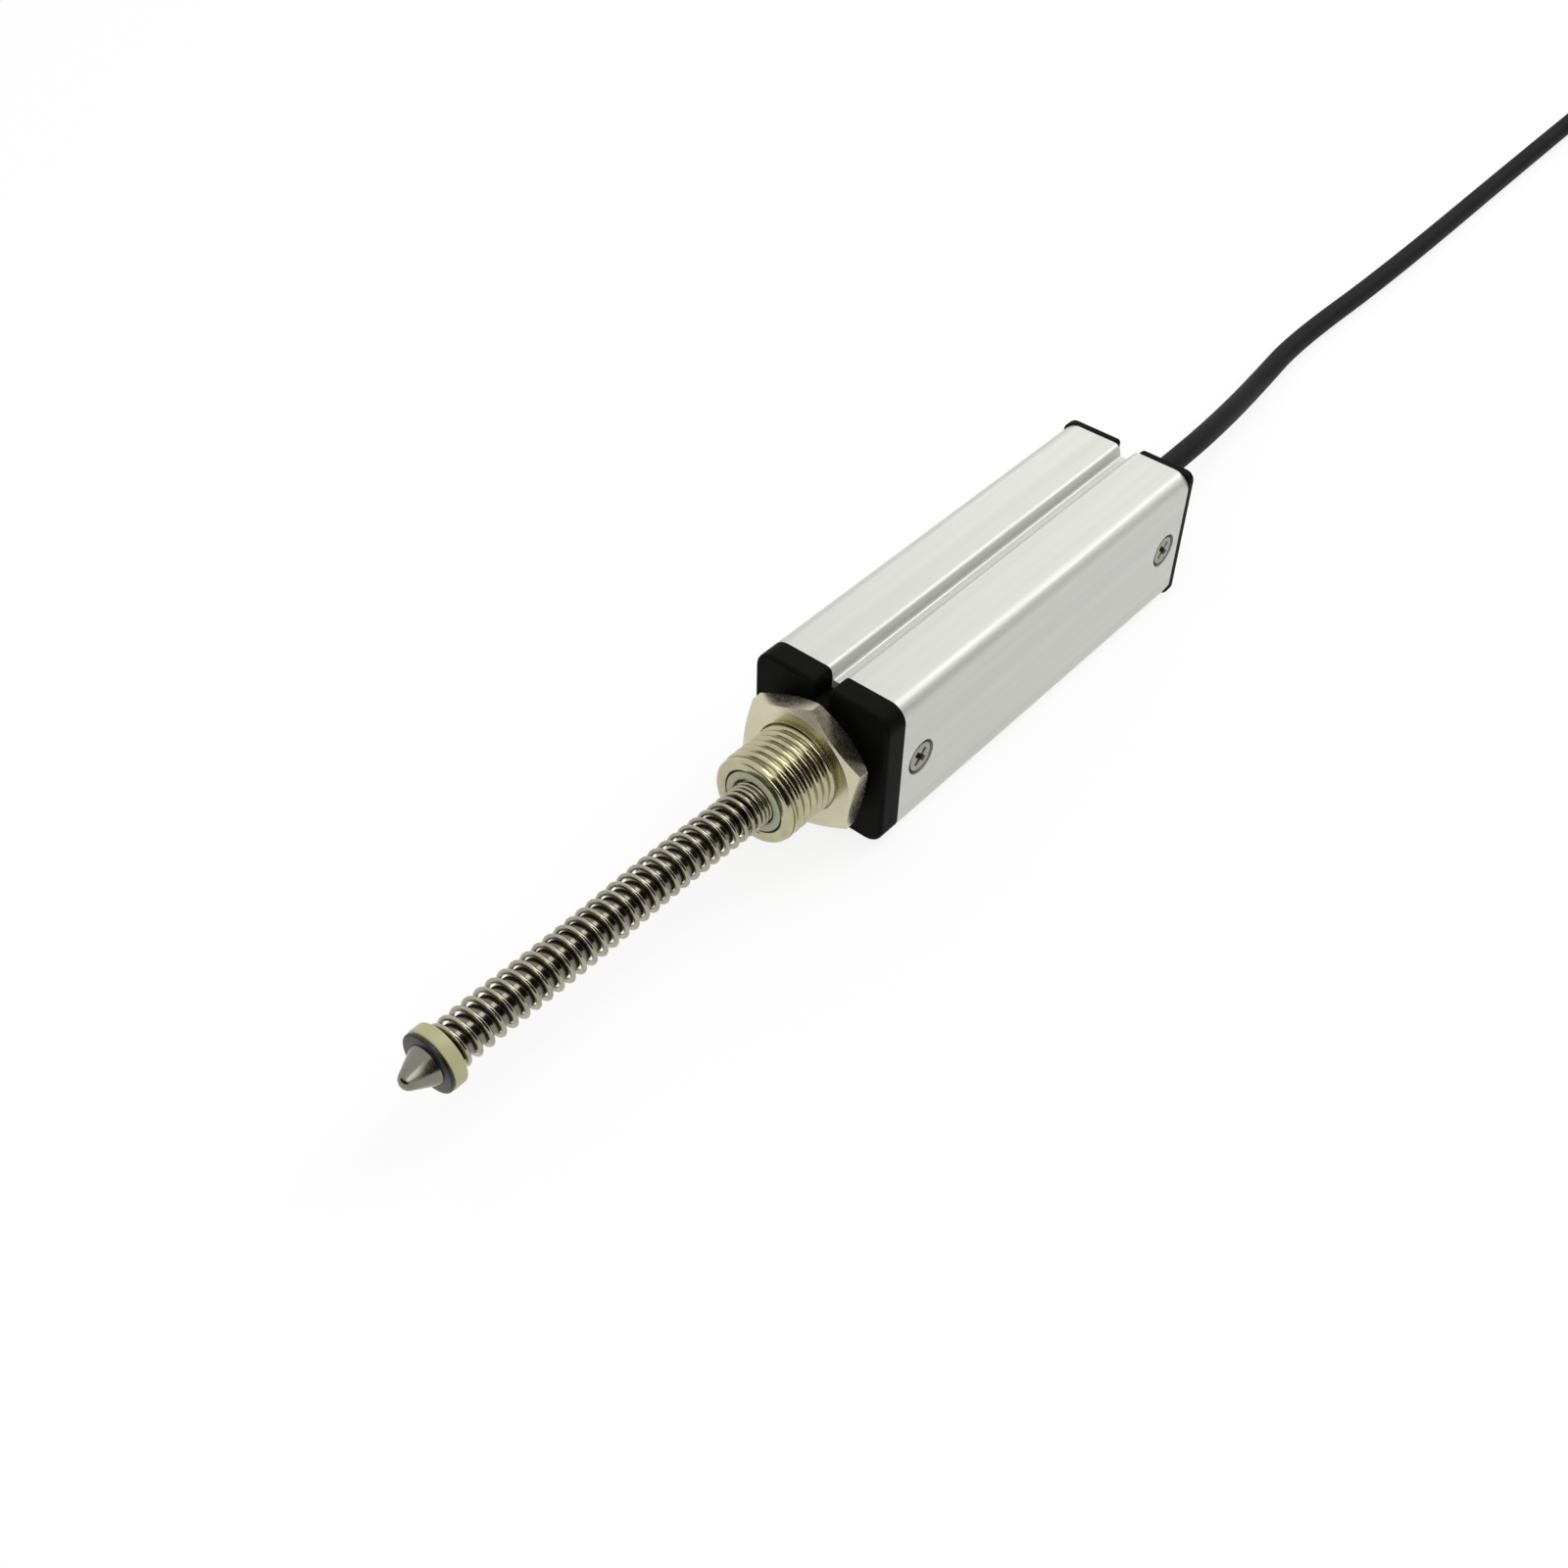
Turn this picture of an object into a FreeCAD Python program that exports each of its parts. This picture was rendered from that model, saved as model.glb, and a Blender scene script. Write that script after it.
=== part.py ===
import FreeCAD, Part
import math
import os
from types import SimpleNamespace

import Sketcher
from FreeCAD import Placement, Rotation, Vector

# driving sizes in millimetres
SIZES = {
    # square aluminium profile
    "body_side": 17.0,
    "body_length": 52.5,
    "body_corner": 2.0,
    "wall": 1.6,
    "slot_width": 1.5,
    "slot_depth": 1.6,
    "slot_edge": 0.45,
    "slot_floor": 2.0,
    "cavity_corner": 0.8,
    "groove_depth": 0.7,
    # front cap
    "cap_thickness": 2.8,
    "cap_edge": 0.45,
    "boss_radius": 6.3,
    "boss_height": 1.1,
    "notch_width": 1.6,
    "notch_depth": 2.4,
    "notch_edge": 0.7,
    "plug_length": 6.0,
    "plug_clearance": 0.1,
    # rear cap
    "plate_thickness": 1.25,
    "rear_corner": 1.2,
    "rear_notch_width": 2.8,
    "rear_notch_depth": 2.4,
    "rear_notch_edge": 0.5,
    "pocket_radius": 2.8,
    "pocket_depth": 4.5,
    # threaded nose, M10 x 1
    "thread_radius": 5.0,
    "thread_pitch_radius": 4.675,
    "nose_reach": 13.05,
    "collar_radius": 4.9,
    "collar_back": 1.2,
    "collar_front": 2.2,
    "gland_radius": 2.75,
    "rim_chamfer": 0.45,
    "mouth_chamfer": 0.35,
    # lock nut
    "nut_flats": 14.0,
    "nut_thickness": 2.35,
    # guide bush
    "bush_radius": 3.45,
    "bush_depth": 10.0,
    "bush_recess": 0.1,
    "seat_radius": 2.6,
    "seat_depth": 1.0,
    # moving rod and its spring
    "stroke": 25.0,
    "rod_radius": 1.75,
    "journal_radius": 1.2,
    "rod_tail": 1.7,
    "stud_radius": 1.0,
    "stud_length": 1.4,
    "spring_length": 41.75,
    "spring_radius": 2.2,
    "spring_wire": 0.5,
    "washer_radius": 3.2,
    "washer_thickness": 1.45,
    "disc_radius": 3.15,
    "disc_thickness": 0.45,
    "disc_front_radius": 2.85,
    "cone_radius": 2.15,
    "cone_length": 3.0,
    "cone_end_radius": 1.0,
    # slider and element
    "carriage_length": 8.0,
    "carriage_recess": 1.2,
    "carriage_clearance": 0.3,
    "carriage_lift": 1.1,
    "clip_radius": 2.4,
    "clip_thickness": 0.4,
    "clip_groove": 0.25,
    "board_thickness": 1.0,
    "board_height": 1.0,
    "track_thickness": 0.08,
    "track_width": 3.0,
    "track_offset": 2.7,
    "wiper_thickness": 0.15,
    "finger_width": 1.6,
    "terminal_pitch": 3.0,
    "lead_radius": 0.35,
    # stops and seal
    "bumper_thickness": 1.0,
    "bumper_radius": 3.2,
    "rest_gap": 0.3,
    "seal_section": 0.9,
    # side screws, M2 x 5 countersunk
    "screw_inset": 3.25,
    "screw_length": 5.0,
    "screw_radius": 1.0,
    "countersink_radius": 2.1,
    "head_sink": 0.25,
    # cable
    "cable_radius": 1.4,
    "grommet_radius": 2.2,
    "grommet_collar": 3.0,
    "grommet_length": 7.0,
    "boot_radius": 2.6,
    "boot_wall": 0.15,
    "boot_taper": 2.6,
    "boot_flare": 3.8,
    "clamp_length": 2.2,
    "hank_run": 45.5,
    "hank_bend": 7.5,
    "hank_layers": 3.0,
    "tie_thickness": 0.6,
    "tie_width": 4.0,
    "core_radius": 0.4,
    # fits, on the radius
    "running_clearance": 0.05,
    "fit_clearance": 0.03,
}

# cable route behind its straight exit: steps behind the rear plate, sideways, height of the centre line
EXIT_RUN = 14.0
ROUTE = [
    (29.0, -2.4, 5.6),
    (44.0, -5.6, 2.1),
    (58.0, -7.6, 1.42),
    (84.0, -6.8, 1.42),
    (132.0, -7.6, 1.42),
]
# where the hank's near bend starts, behind the rear plate
HANK_START = 160.5

doc = FreeCAD.newDocument("linear_potentiometer")
sheet = doc.addObject("Spreadsheet::Sheet", "sizes")


class Size:
    """A length that carries its value and the sheet expression behind it."""

    def __init__(self, value, text):
        self.value = value
        self.text = text

    def __add__(self, other):
        other = as_size(other)
        return Size(self.value + other.value, f"({self.text} + {other.text})")

    def __sub__(self, other):
        other = as_size(other)
        return Size(self.value - other.value, f"({self.text} - {other.text})")

    def __mul__(self, factor):
        return Size(self.value * factor, f"({self.text} * {factor})")

    def __truediv__(self, factor):
        return Size(self.value / factor, f"({self.text} / {factor})")

    def __neg__(self):
        return Size(-self.value, f"(0 - {self.text})")


def as_size(number):
    if isinstance(number, Size):
        return number
    return Size(float(number), repr(float(number)))


for row, (alias, number) in enumerate(SIZES.items(), start=1):
    sheet.set(f"A{row}", alias.replace("_", " "))
    sheet.set(f"B{row}", str(number))
    sheet.setAlias(f"B{row}", alias)
doc.recompute()
S = SimpleNamespace(**{a: Size(float(sheet.get(a)), f"sizes.{a}") for a in SIZES})
ZERO = as_size(0)

# shared stations along the rod and heights
HALF = S.body_side / 2
AXIS = HALF
FRONT = S.body_length / 2
REAR = -FRONT
CAP_FACE = FRONT + S.cap_thickness
BOSS_FACE = CAP_FACE + S.boss_height
NUT_FACE = BOSS_FACE + S.nut_thickness
NOSE_END = FRONT + S.nose_reach
BUSH_BACK = NOSE_END - S.bush_depth
BUSH_FACE = NOSE_END - S.bush_recess
SEAT = BUSH_FACE - S.seat_depth
WASHER_BACK = SEAT + S.spring_length
WASHER_FACE = WASHER_BACK + S.washer_thickness
DISC_FACE = WASHER_FACE + S.disc_thickness
PLUG_BACK = FRONT - S.plug_length
REST = PLUG_BACK - S.bumper_thickness - S.rest_gap
CARRIAGE_BACK = REST - S.carriage_length
REAR_FACE = REAR - S.plate_thickness
REAR_PLUG = REAR + S.plug_length
POCKET_END = REAR_PLUG - S.pocket_depth
CAVITY_HALF = HALF - S.wall
CAVITY_TOP = S.body_side - S.slot_depth - S.slot_floor
BOARD_LOW = S.wall + S.board_height
BOARD_TOP = BOARD_LOW + S.board_thickness
SCREW_FRONT = FRONT - S.screw_inset
SCREW_REAR = REAR + S.screw_inset

nodes = []


def node(part, name):
    part.Label = name
    nodes.append(part)
    return part


def bind(part, prop, size):
    part.setExpression(prop, as_size(size).text)


def place(part, x=ZERO, y=ZERO, z=ZERO, turn=None):
    if turn:
        part.Placement = Placement(Vector(0, 0, 0), turn)
    bind(part, "Placement.Base.x", x)
    bind(part, "Placement.Base.y", y)
    bind(part, "Placement.Base.z", z)
    return part


def new_body(name):
    return doc.addObject("PartDesign::Body", name)


def new_sketch(body, role, offset=None):
    plane = next(f for f in body.Origin.OriginFeatures if f.Role == role)
    sketch = body.newObject("Sketcher::SketchObject", f"{body.Name}_sketch")
    sketch.AttachmentSupport = [(plane, "")]
    sketch.MapMode = "FlatFace"
    if offset is not None:
        bind(sketch, "AttachmentOffset.Base.z", offset)
    return sketch


def arc_centre(start, end, radius, side):
    """Centre of an arc whose centre lies left (1) or right (-1) of its chord."""
    chord = end - start
    rise = math.sqrt(max(radius * radius - chord.Length * chord.Length / 4, 0.0))
    left = Vector(-chord.y, chord.x, 0).normalize()
    return (start + end) / 2 + left * (rise * side)


def fix(sketch, index, point, axis, size):
    """Holds one coordinate of a sketch point at a size from the sheet."""
    if size is ZERO:
        axis_line = -2 if axis == "X" else -1
        sketch.addConstraint(Sketcher.Constraint("PointOnObject", index, point, axis_line))
        return
    rule = Sketcher.Constraint(f"Distance{axis}", -1, 1, index, point, size.value)
    number = sketch.addConstraint(rule)
    bind(sketch, f"Constraints[{number}]", size)


def outline(sketch, corners):
    """Closed outline; a corner (a, b, radius, side) starts an arc, (a, b) a line."""
    spots = [Vector(c[0].value, c[1].value, 0) for c in corners]
    ends = []
    for i, corner in enumerate(corners):
        start, end = spots[i], spots[(i + 1) % len(spots)]
        if len(corner) == 2:
            index = sketch.addGeometry(Part.LineSegment(start, end))
            ends.append((index, 1, 2))
            continue
        radius, side = corner[2], corner[3]
        centre = arc_centre(start, end, radius.value, side)
        first = math.atan2(start.y - centre.y, start.x - centre.x)
        last = math.atan2(end.y - centre.y, end.x - centre.x)
        if side < 0:
            first, last = last, first
        circle = Part.Circle(centre, Vector(0, 0, 1), radius.value)
        index = sketch.addGeometry(Part.ArcOfCircle(circle, first, last))
        ends.append((index, 1, 2) if side > 0 else (index, 2, 1))
    for i, (index, begin, finish) in enumerate(ends):
        following = ends[(i + 1) % len(ends)]
        join = Sketcher.Constraint("Coincident", index, finish, following[0], following[1])
        sketch.addConstraint(join)
        fix(sketch, index, begin, "X", corners[i][0])
        fix(sketch, index, begin, "Y", corners[i][1])
    for corner, (index, begin, finish) in zip(corners, ends):
        if len(corner) == 4:
            rule = Sketcher.Constraint("Radius", index, corner[2].value)
            bind(sketch, f"Constraints[{sketch.addConstraint(rule)}]", corner[2])


def rounded(left, right, low, high, radius, top=()):
    """Corners of a rounded rectangle, with more corners let into its top side."""
    return [
        (left + radius, low),
        (right - radius, low, radius, 1),
        (right, low + radius),
        (right, high - radius, radius, 1),
        (right - radius, high),
        *top,
        (left + radius, high, radius, 1),
        (left, high - radius),
        (left, low + radius, radius, 1),
    ]


def notch(half, high, depth, edge):
    """Corners of a notch with rounded lips, from right to left."""
    return [
        (half + edge, high, edge, 1),
        (half, high - edge),
        (half, high - depth),
        (-half, high - depth),
        (-half, high - edge, edge, 1),
        (-half - edge, high),
    ]


def pad(body, sketch, length):
    feature = body.newObject("PartDesign::Pad", f"{body.Name}_pad")
    feature.Profile = sketch
    bind(feature, "Length", length)
    return feature


def prism(name, role, outlines, start, length):
    """Body padded from one or more outlines on a base plane moved to a start."""
    body = new_body(name)
    sketch = new_sketch(body, role, start)
    for corners in outlines:
        outline(sketch, corners)
    pad(body, sketch, length)
    return body


def lathe(name, corners, axis="X", x=ZERO, z=AXIS):
    """Body turned from an outline: (station, radius) about X, or (radius, station) about Y."""
    body = new_body(name)
    sketch = new_sketch(body, "XZ_Plane" if axis == "X" else "XY_Plane")
    outline(sketch, corners)
    turned = body.newObject("PartDesign::Revolution", f"{name}_turned")
    turned.Profile = sketch
    turned.ReferenceAxis = (sketch, ["H_Axis" if axis == "X" else "V_Axis"])
    turned.Angle = 360
    return place(body, x, ZERO, z)


ALONG_X = Rotation(Vector(0, 1, 0), 90)
ALONG_Y = Rotation(Vector(1, 0, 0), -90)


def cylinder(name, radius, length, turn, x=ZERO, y=ZERO, z=AXIS):
    part = doc.addObject("Part::Cylinder", name)
    bind(part, "Radius", radius)
    bind(part, "Height", length)
    return place(part, x, y, z, turn)


def box(name, x, y, z, length, width, height):
    part = doc.addObject("Part::Box", name)
    bind(part, "Length", length)
    bind(part, "Width", width)
    bind(part, "Height", height)
    return place(part, x, y, z)


def fuse(name, parts):
    part = doc.addObject("Part::MultiFuse", name)
    part.Shapes = parts
    return part


def cut(name, base, tools):
    part = doc.addObject("Part::Cut", name)
    part.Base = base
    part.Tool = tools[0] if len(tools) == 1 else fuse(f"{name}_tools", tools)
    return part


def group(name, parts):
    part = doc.addObject("Part::Compound", name)
    part.Links = parts
    return part


def break_edges(body, size, wanted):
    """Chamfers the edges of a body's last feature that a test picks out."""
    doc.recompute()
    tip = body.Tip
    picked = [f"Edge{i}" for i, e in enumerate(tip.Shape.Edges, start=1) if wanted(e)]
    feature = body.newObject("PartDesign::Chamfer", f"{body.Name}_rims")
    feature.Base = (tip, picked)
    bind(feature, "Size", size)
    body.Tip = feature
    return feature


# profile with its slot, hollow and board grooves drawn in one section
slot_top = notch(S.slot_width / 2, S.body_side, S.slot_depth, S.slot_edge)
groove_low = BOARD_LOW - S.running_clearance
groove_top = BOARD_TOP + S.running_clearance
groove_half = CAVITY_HALF + S.groove_depth
inner = S.cavity_corner
hollow = [
    (inner - CAVITY_HALF, S.wall),
    (CAVITY_HALF - inner, S.wall, inner, 1),
    (CAVITY_HALF, S.wall + inner),
    (CAVITY_HALF, groove_low),
    (groove_half, groove_low),
    (groove_half, groove_top),
    (CAVITY_HALF, groove_top),
    (CAVITY_HALF, CAVITY_TOP - inner, inner, 1),
    (CAVITY_HALF - inner, CAVITY_TOP),
    (inner - CAVITY_HALF, CAVITY_TOP, inner, 1),
    (-CAVITY_HALF, CAVITY_TOP - inner),
    (-CAVITY_HALF, groove_top),
    (-groove_half, groove_top),
    (-groove_half, groove_low),
    (-CAVITY_HALF, groove_low),
    (-CAVITY_HALF, S.wall + inner, inner, 1),
]
section = rounded(-HALF, HALF, ZERO, S.body_side, S.body_corner, slot_top)
profile = prism("profile", "YZ_Plane", [section, hollow], REAR, S.body_length)

# countersunk holes for the four side screws
hole_radius = S.screw_radius + S.fit_clearance * 3
sinks = []
for station, mark in ((SCREW_FRONT, "front"), (SCREW_REAR, "rear")):
    for hand, tag in ((1, "near"), (-1, "far")):
        depth = S.countersink_radius - hole_radius
        sink = [
            (ZERO, HALF * hand),
            (S.countersink_radius, HALF * hand),
            (hole_radius, (HALF - depth) * hand),
            (hole_radius, (HALF - S.wall * 2) * hand),
            (ZERO, (HALF - S.wall * 2) * hand),
        ]
        sinks.append(lathe(f"sink_{mark}_{tag}", sink, "Y", station))
node(cut("profile_drilled", profile, sinks), "housing_profile")

# side screws; the head sits just under the surface
head_radius = S.countersink_radius - S.head_sink - S.fit_clearance
head_depth = head_radius - S.screw_radius
for station, name in ((SCREW_FRONT, "front_cap_screws"), (SCREW_REAR, "rear_cap_screws")):
    pair = []
    for hand, tag in ((1, "near"), (-1, "far")):
        top = HALF - S.head_sink
        screw = [
            (ZERO, top * hand),
            (head_radius, top * hand),
            (S.screw_radius, (top - head_depth) * hand),
            (S.screw_radius, (HALF - S.screw_length) * hand),
            (ZERO, (HALF - S.screw_length) * hand),
        ]
        pair.append(lathe(f"{name}_{tag}", screw, "Y", station))
    node(group(f"{name}_pair", pair), name)


def cross_holes(name, station):
    """Two blind holes for the screw tips, one from each side of a plug."""
    radius = S.screw_radius + S.fit_clearance
    depth = CAVITY_HALF - HALF + S.screw_length + S.fit_clearance
    near = cylinder(f"{name}_near", radius, depth, ALONG_Y, station, CAVITY_HALF - depth)
    far = cylinder(f"{name}_far", radius, depth, ALONG_Y, station, -CAVITY_HALF)
    return [near, far]


def plug_outline():
    gap = S.plug_clearance
    half = CAVITY_HALF - gap
    return rounded(-half, half, S.wall + gap, CAVITY_TOP - gap, S.cavity_corner)


# front cap: plate, boss and plug around the moulded-in nose
cap = new_body("front_cap_body")
plate = new_sketch(cap, "YZ_Plane", FRONT)
outline(
    plate,
    rounded(
        -HALF, HALF, ZERO, S.body_side, S.body_corner,
        notch(S.notch_width / 2, S.body_side, S.notch_depth, S.notch_edge),
    ),
)
pad(cap, plate, S.cap_thickness)


def on_front_rim(edge):
    return all(abs(v.X - CAP_FACE.value) < 1e-6 for v in edge.Vertexes)


break_edges(cap, S.cap_edge, on_front_rim)
plug = new_sketch(cap, "YZ_Plane", PLUG_BACK)
outline(plug, plug_outline())
pad(cap, plug, S.plug_length)
boss = cylinder("boss", S.boss_radius, S.boss_height + S.cap_thickness, ALONG_X, FRONT)
cap_whole = fuse("front_cap_whole", [cap, boss])
collar_x = FRONT - S.collar_back
shoulder = FRONT + S.collar_front
insert_room = S.collar_radius + S.fit_clearance
shank_room = S.thread_pitch_radius + S.fit_clearance
insert = cylinder("insert_room", insert_room, shoulder - collar_x, ALONG_X, collar_x)
shank = cylinder("shank_room", shank_room, BOSS_FACE - shoulder, ALONG_X, shoulder)
rod_room = S.rod_radius + S.running_clearance * 6
passage = cylinder("rod_room", rod_room, collar_x - PLUG_BACK, ALONG_X, PLUG_BACK)
tools = [insert, shank, passage] + cross_holes("front_tap", SCREW_FRONT)
node(cut("front_cap_cut", cap_whole, tools), "front_cap")

# nose: collar in the cap, pitch line under cap and nut, full thread in front
bush_room = S.bush_radius + S.fit_clearance
nose = [
    (collar_x, S.gland_radius),
    (collar_x, S.collar_radius),
    (shoulder, S.collar_radius),
    (shoulder, S.thread_pitch_radius),
    (NUT_FACE, S.thread_pitch_radius),
    (NUT_FACE, S.thread_radius),
    (NOSE_END - S.rim_chamfer, S.thread_radius),
    (NOSE_END, S.thread_radius - S.rim_chamfer),
    (NOSE_END, bush_room + S.mouth_chamfer),
    (NOSE_END - S.mouth_chamfer, bush_room),
    (BUSH_BACK, bush_room),
    (BUSH_BACK, S.gland_radius),
]
node(lathe("nose", nose), "nose_bushing")

# lock nut: hexagon with turned corners, corner angles as photographed
NUT_TURN = 21.0
nut_corner = S.nut_flats / (2 * math.cos(math.pi / 6))
hexagon = doc.addObject("Part::Prism", "nut_hexagon")
hexagon.Polygon = 6
bind(hexagon, "Circumradius", nut_corner)
bind(hexagon, "Height", S.nut_thickness)
place(hexagon, BOSS_FACE, ZERO, AXIS, Rotation(Vector(1, 0, 0), NUT_TURN) * ALONG_X)
crown = nut_corner - S.nut_flats / 2
crown_rise = crown / 2
nut_turned = [
    (BOSS_FACE, ZERO),
    (BOSS_FACE, nut_corner - crown),
    (BOSS_FACE + crown_rise, nut_corner),
    (NUT_FACE - crown_rise, nut_corner),
    (NUT_FACE, nut_corner - crown),
    (NUT_FACE, ZERO),
]
nut_blank = doc.addObject("Part::MultiCommon", "nut_blank")
nut_blank.Shapes = [hexagon, lathe("nut_envelope", nut_turned)]
nut_bore = cylinder("nut_bore", S.thread_pitch_radius, S.nut_thickness, ALONG_X, BOSS_FACE)
node(cut("nut_drilled", nut_blank, [nut_bore]), "lock_nut")

# guide bush with the spring seat in its face
bush = [
    (BUSH_BACK, S.rod_radius + S.running_clearance),
    (BUSH_BACK, S.bush_radius),
    (BUSH_FACE, S.bush_radius),
    (BUSH_FACE, S.seat_radius),
    (SEAT, S.seat_radius),
    (SEAT, S.rod_radius + S.running_clearance),
]
node(lathe("bush", bush), "guide_bush")

# square-section seal ring behind the bush
seal_inner = S.rod_radius + S.running_clearance
seal = [
    (BUSH_BACK - S.seal_section, seal_inner),
    (BUSH_BACK - S.seal_section, seal_inner + S.seal_section),
    (BUSH_BACK, seal_inner + S.seal_section),
    (BUSH_BACK, seal_inner),
]
node(lathe("seal", seal), "rod_seal")

# stops at both ends of the travel
front_stop = [
    (PLUG_BACK - S.bumper_thickness, rod_room),
    (PLUG_BACK - S.bumper_thickness, S.bumper_radius),
    (PLUG_BACK, S.bumper_radius),
    (PLUG_BACK, rod_room),
]
node(lathe("front_stop", front_stop), "front_bumper")
stop_low = AXIS + S.rod_radius + S.rest_gap
rear_stop = rounded(
    -S.pocket_radius - S.rod_radius, S.pocket_radius + S.rod_radius,
    stop_low, CAVITY_TOP - S.carriage_clearance * 2, S.cavity_corner,
)
node(prism("rear_stop", "YZ_Plane", [rear_stop], REAR_PLUG, S.bumper_thickness * 1.5), "rear_bumper")

# rod: carriage journal with clip groove, guided length, stud for the tip
clip_x = CARRIAGE_BACK - S.clip_thickness
groove_r = S.journal_radius - S.clip_groove
rod = [
    (CARRIAGE_BACK - S.rod_tail, ZERO),
    (CARRIAGE_BACK - S.rod_tail, S.journal_radius),
    (clip_x, S.journal_radius),
    (clip_x, groove_r),
    (CARRIAGE_BACK, groove_r),
    (CARRIAGE_BACK, S.journal_radius),
    (REST, S.journal_radius),
    (REST, S.rod_radius),
    (WASHER_FACE, S.rod_radius),
    (WASHER_FACE, S.stud_radius),
    (WASHER_FACE + S.stud_length, S.stud_radius),
    (WASHER_FACE + S.stud_length, ZERO),
]
node(lathe("rod", rod), "plunger_rod")

# washer, disc and cone tip, held by the stud
washer_room = S.rod_radius + S.fit_clearance
washer = [
    (WASHER_BACK, washer_room),
    (WASHER_BACK, S.washer_radius),
    (WASHER_FACE, S.washer_radius),
    (WASHER_FACE, washer_room),
]
node(lathe("washer", washer), "spring_washer")
stud_room = S.stud_radius + S.fit_clearance
stud_end = WASHER_FACE + S.stud_length + S.running_clearance
disc = [
    (WASHER_FACE, stud_room),
    (WASHER_FACE, S.disc_radius),
    (DISC_FACE - S.disc_thickness / 2, S.disc_radius),
    (DISC_FACE, S.disc_front_radius),
    (DISC_FACE, stud_room),
]
node(lathe("disc", disc), "tip_disc")
TIP_END = DISC_FACE + S.cone_length
dome = S.cone_end_radius
tip = [
    (DISC_FACE, stud_room),
    (DISC_FACE, S.cone_radius),
    (TIP_END - dome, dome, dome, -1),
    (TIP_END, ZERO),
    (stud_end, ZERO),
    (stud_end, stud_room),
]
node(lathe("tip", tip), "contact_tip")

# return spring with closed end turns, swept along one helical path of short chords
CLOSED_REAR_TURNS = 2.5
ACTIVE_TURNS = 27.0
CLOSED_FRONT_TURNS = 1.5
CLOSED_PITCH = 1.2
CHORDS_PER_TURN = 12


def spring_path(start, end, radius, closed_gap):
    """Points of the wire's centre line from the seat to the washer."""
    rear = CLOSED_REAR_TURNS * closed_gap
    front = CLOSED_FRONT_TURNS * closed_gap
    stages = (
        (CLOSED_REAR_TURNS, rear),
        (ACTIVE_TURNS, end - start - rear - front),
        (CLOSED_FRONT_TURNS, front),
    )
    x = start
    step = 0
    spots = [Vector(x, radius, AXIS.value)]
    for turns, travel in stages:
        chords = round(turns * CHORDS_PER_TURN)
        for _ in range(chords):
            x += travel / chords
            step += 1
            angle = 2 * math.pi * step / CHORDS_PER_TURN
            spots.append(Vector(x, radius * math.cos(angle), AXIS.value + radius * math.sin(angle)))
    return spots


# four-sided wire with the round wire's section area
wire_half = S.spring_wire.value / 2 * math.sqrt(math.pi / 2)
end_room = wire_half + S.running_clearance.value
spots = spring_path(
    SEAT.value + end_room, WASHER_BACK.value - end_room,
    S.spring_radius.value, S.spring_wire.value * CLOSED_PITCH,
)
steps = [(1, 0), (0, 1), (-1, 0), (0, -1), (1, 0)]
wire_section = Part.makePolygon([spots[0] + Vector(a, b, 0) * wire_half for a, b in steps])
spring = doc.addObject("Part::Feature", "spring")
spring_wire = Part.makePolygon(spots)
# the last value asks for mitred corners
spring.Shape = spring_wire.makePipeShell([wire_section], True, False, 1)
node(spring, "return_spring")

# carriage: guide block over the board with a recess along its top
gap = S.carriage_clearance
carriage_low = BOARD_TOP + S.carriage_lift
carriage_half = CAVITY_HALF - gap
carriage_top = CAVITY_TOP - gap
saddle = rounded(
    -carriage_half, carriage_half, carriage_low, carriage_top, S.cavity_corner,
    notch(carriage_half / 2, carriage_top, S.carriage_recess, S.slot_edge),
)
saddle_body = prism("saddle", "YZ_Plane", [saddle], CARRIAGE_BACK, S.carriage_length)
journal_room = S.journal_radius + S.fit_clearance
saddle_bore = cylinder("saddle_bore", journal_room, S.carriage_length, ALONG_X, CARRIAGE_BACK)
node(cut("saddle_drilled", saddle_body, [saddle_bore]), "carriage")

# clip in the rod's groove, open to one side
clip_room = groove_r + S.fit_clearance
clip_disc = cylinder("clip_disc", S.clip_radius, S.clip_thickness, ALONG_X, clip_x)
clip_eye = cylinder("clip_eye", clip_room, S.clip_thickness, ALONG_X, clip_x)
clip_mouth = box(
    "clip_mouth", clip_x, ZERO, AXIS - groove_r * 0.8,
    S.clip_thickness, S.clip_radius, groove_r * 1.6,
)
node(cut("clip_cut", clip_disc, [clip_eye, clip_mouth]), "retaining_clip")

# element board in the side grooves, and its tracks
board_half = groove_half - S.running_clearance
board_front = REST - S.bumper_thickness
board_back = REAR_PLUG + S.running_clearance
board_length = board_front - board_back
board = box(
    "board", board_back, -board_half, BOARD_LOW,
    board_length, board_half * 2, S.board_thickness,
)
node(board, "track_board")
track_front = board_front - S.bumper_thickness
post_x = REAR_PLUG + S.terminal_pitch * 0.66
post_half = S.lead_radius * 1.6
track_back = post_x + post_half + S.rest_gap
for hand, name in ((1, "resistive_track"), (-1, "collector_track")):
    side = S.track_offset * hand - S.track_width / 2
    strip = box(
        f"{name}_strip", track_back, side, BOARD_TOP,
        track_front - track_back, S.track_width, S.track_thickness,
    )
    node(strip, name)

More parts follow.
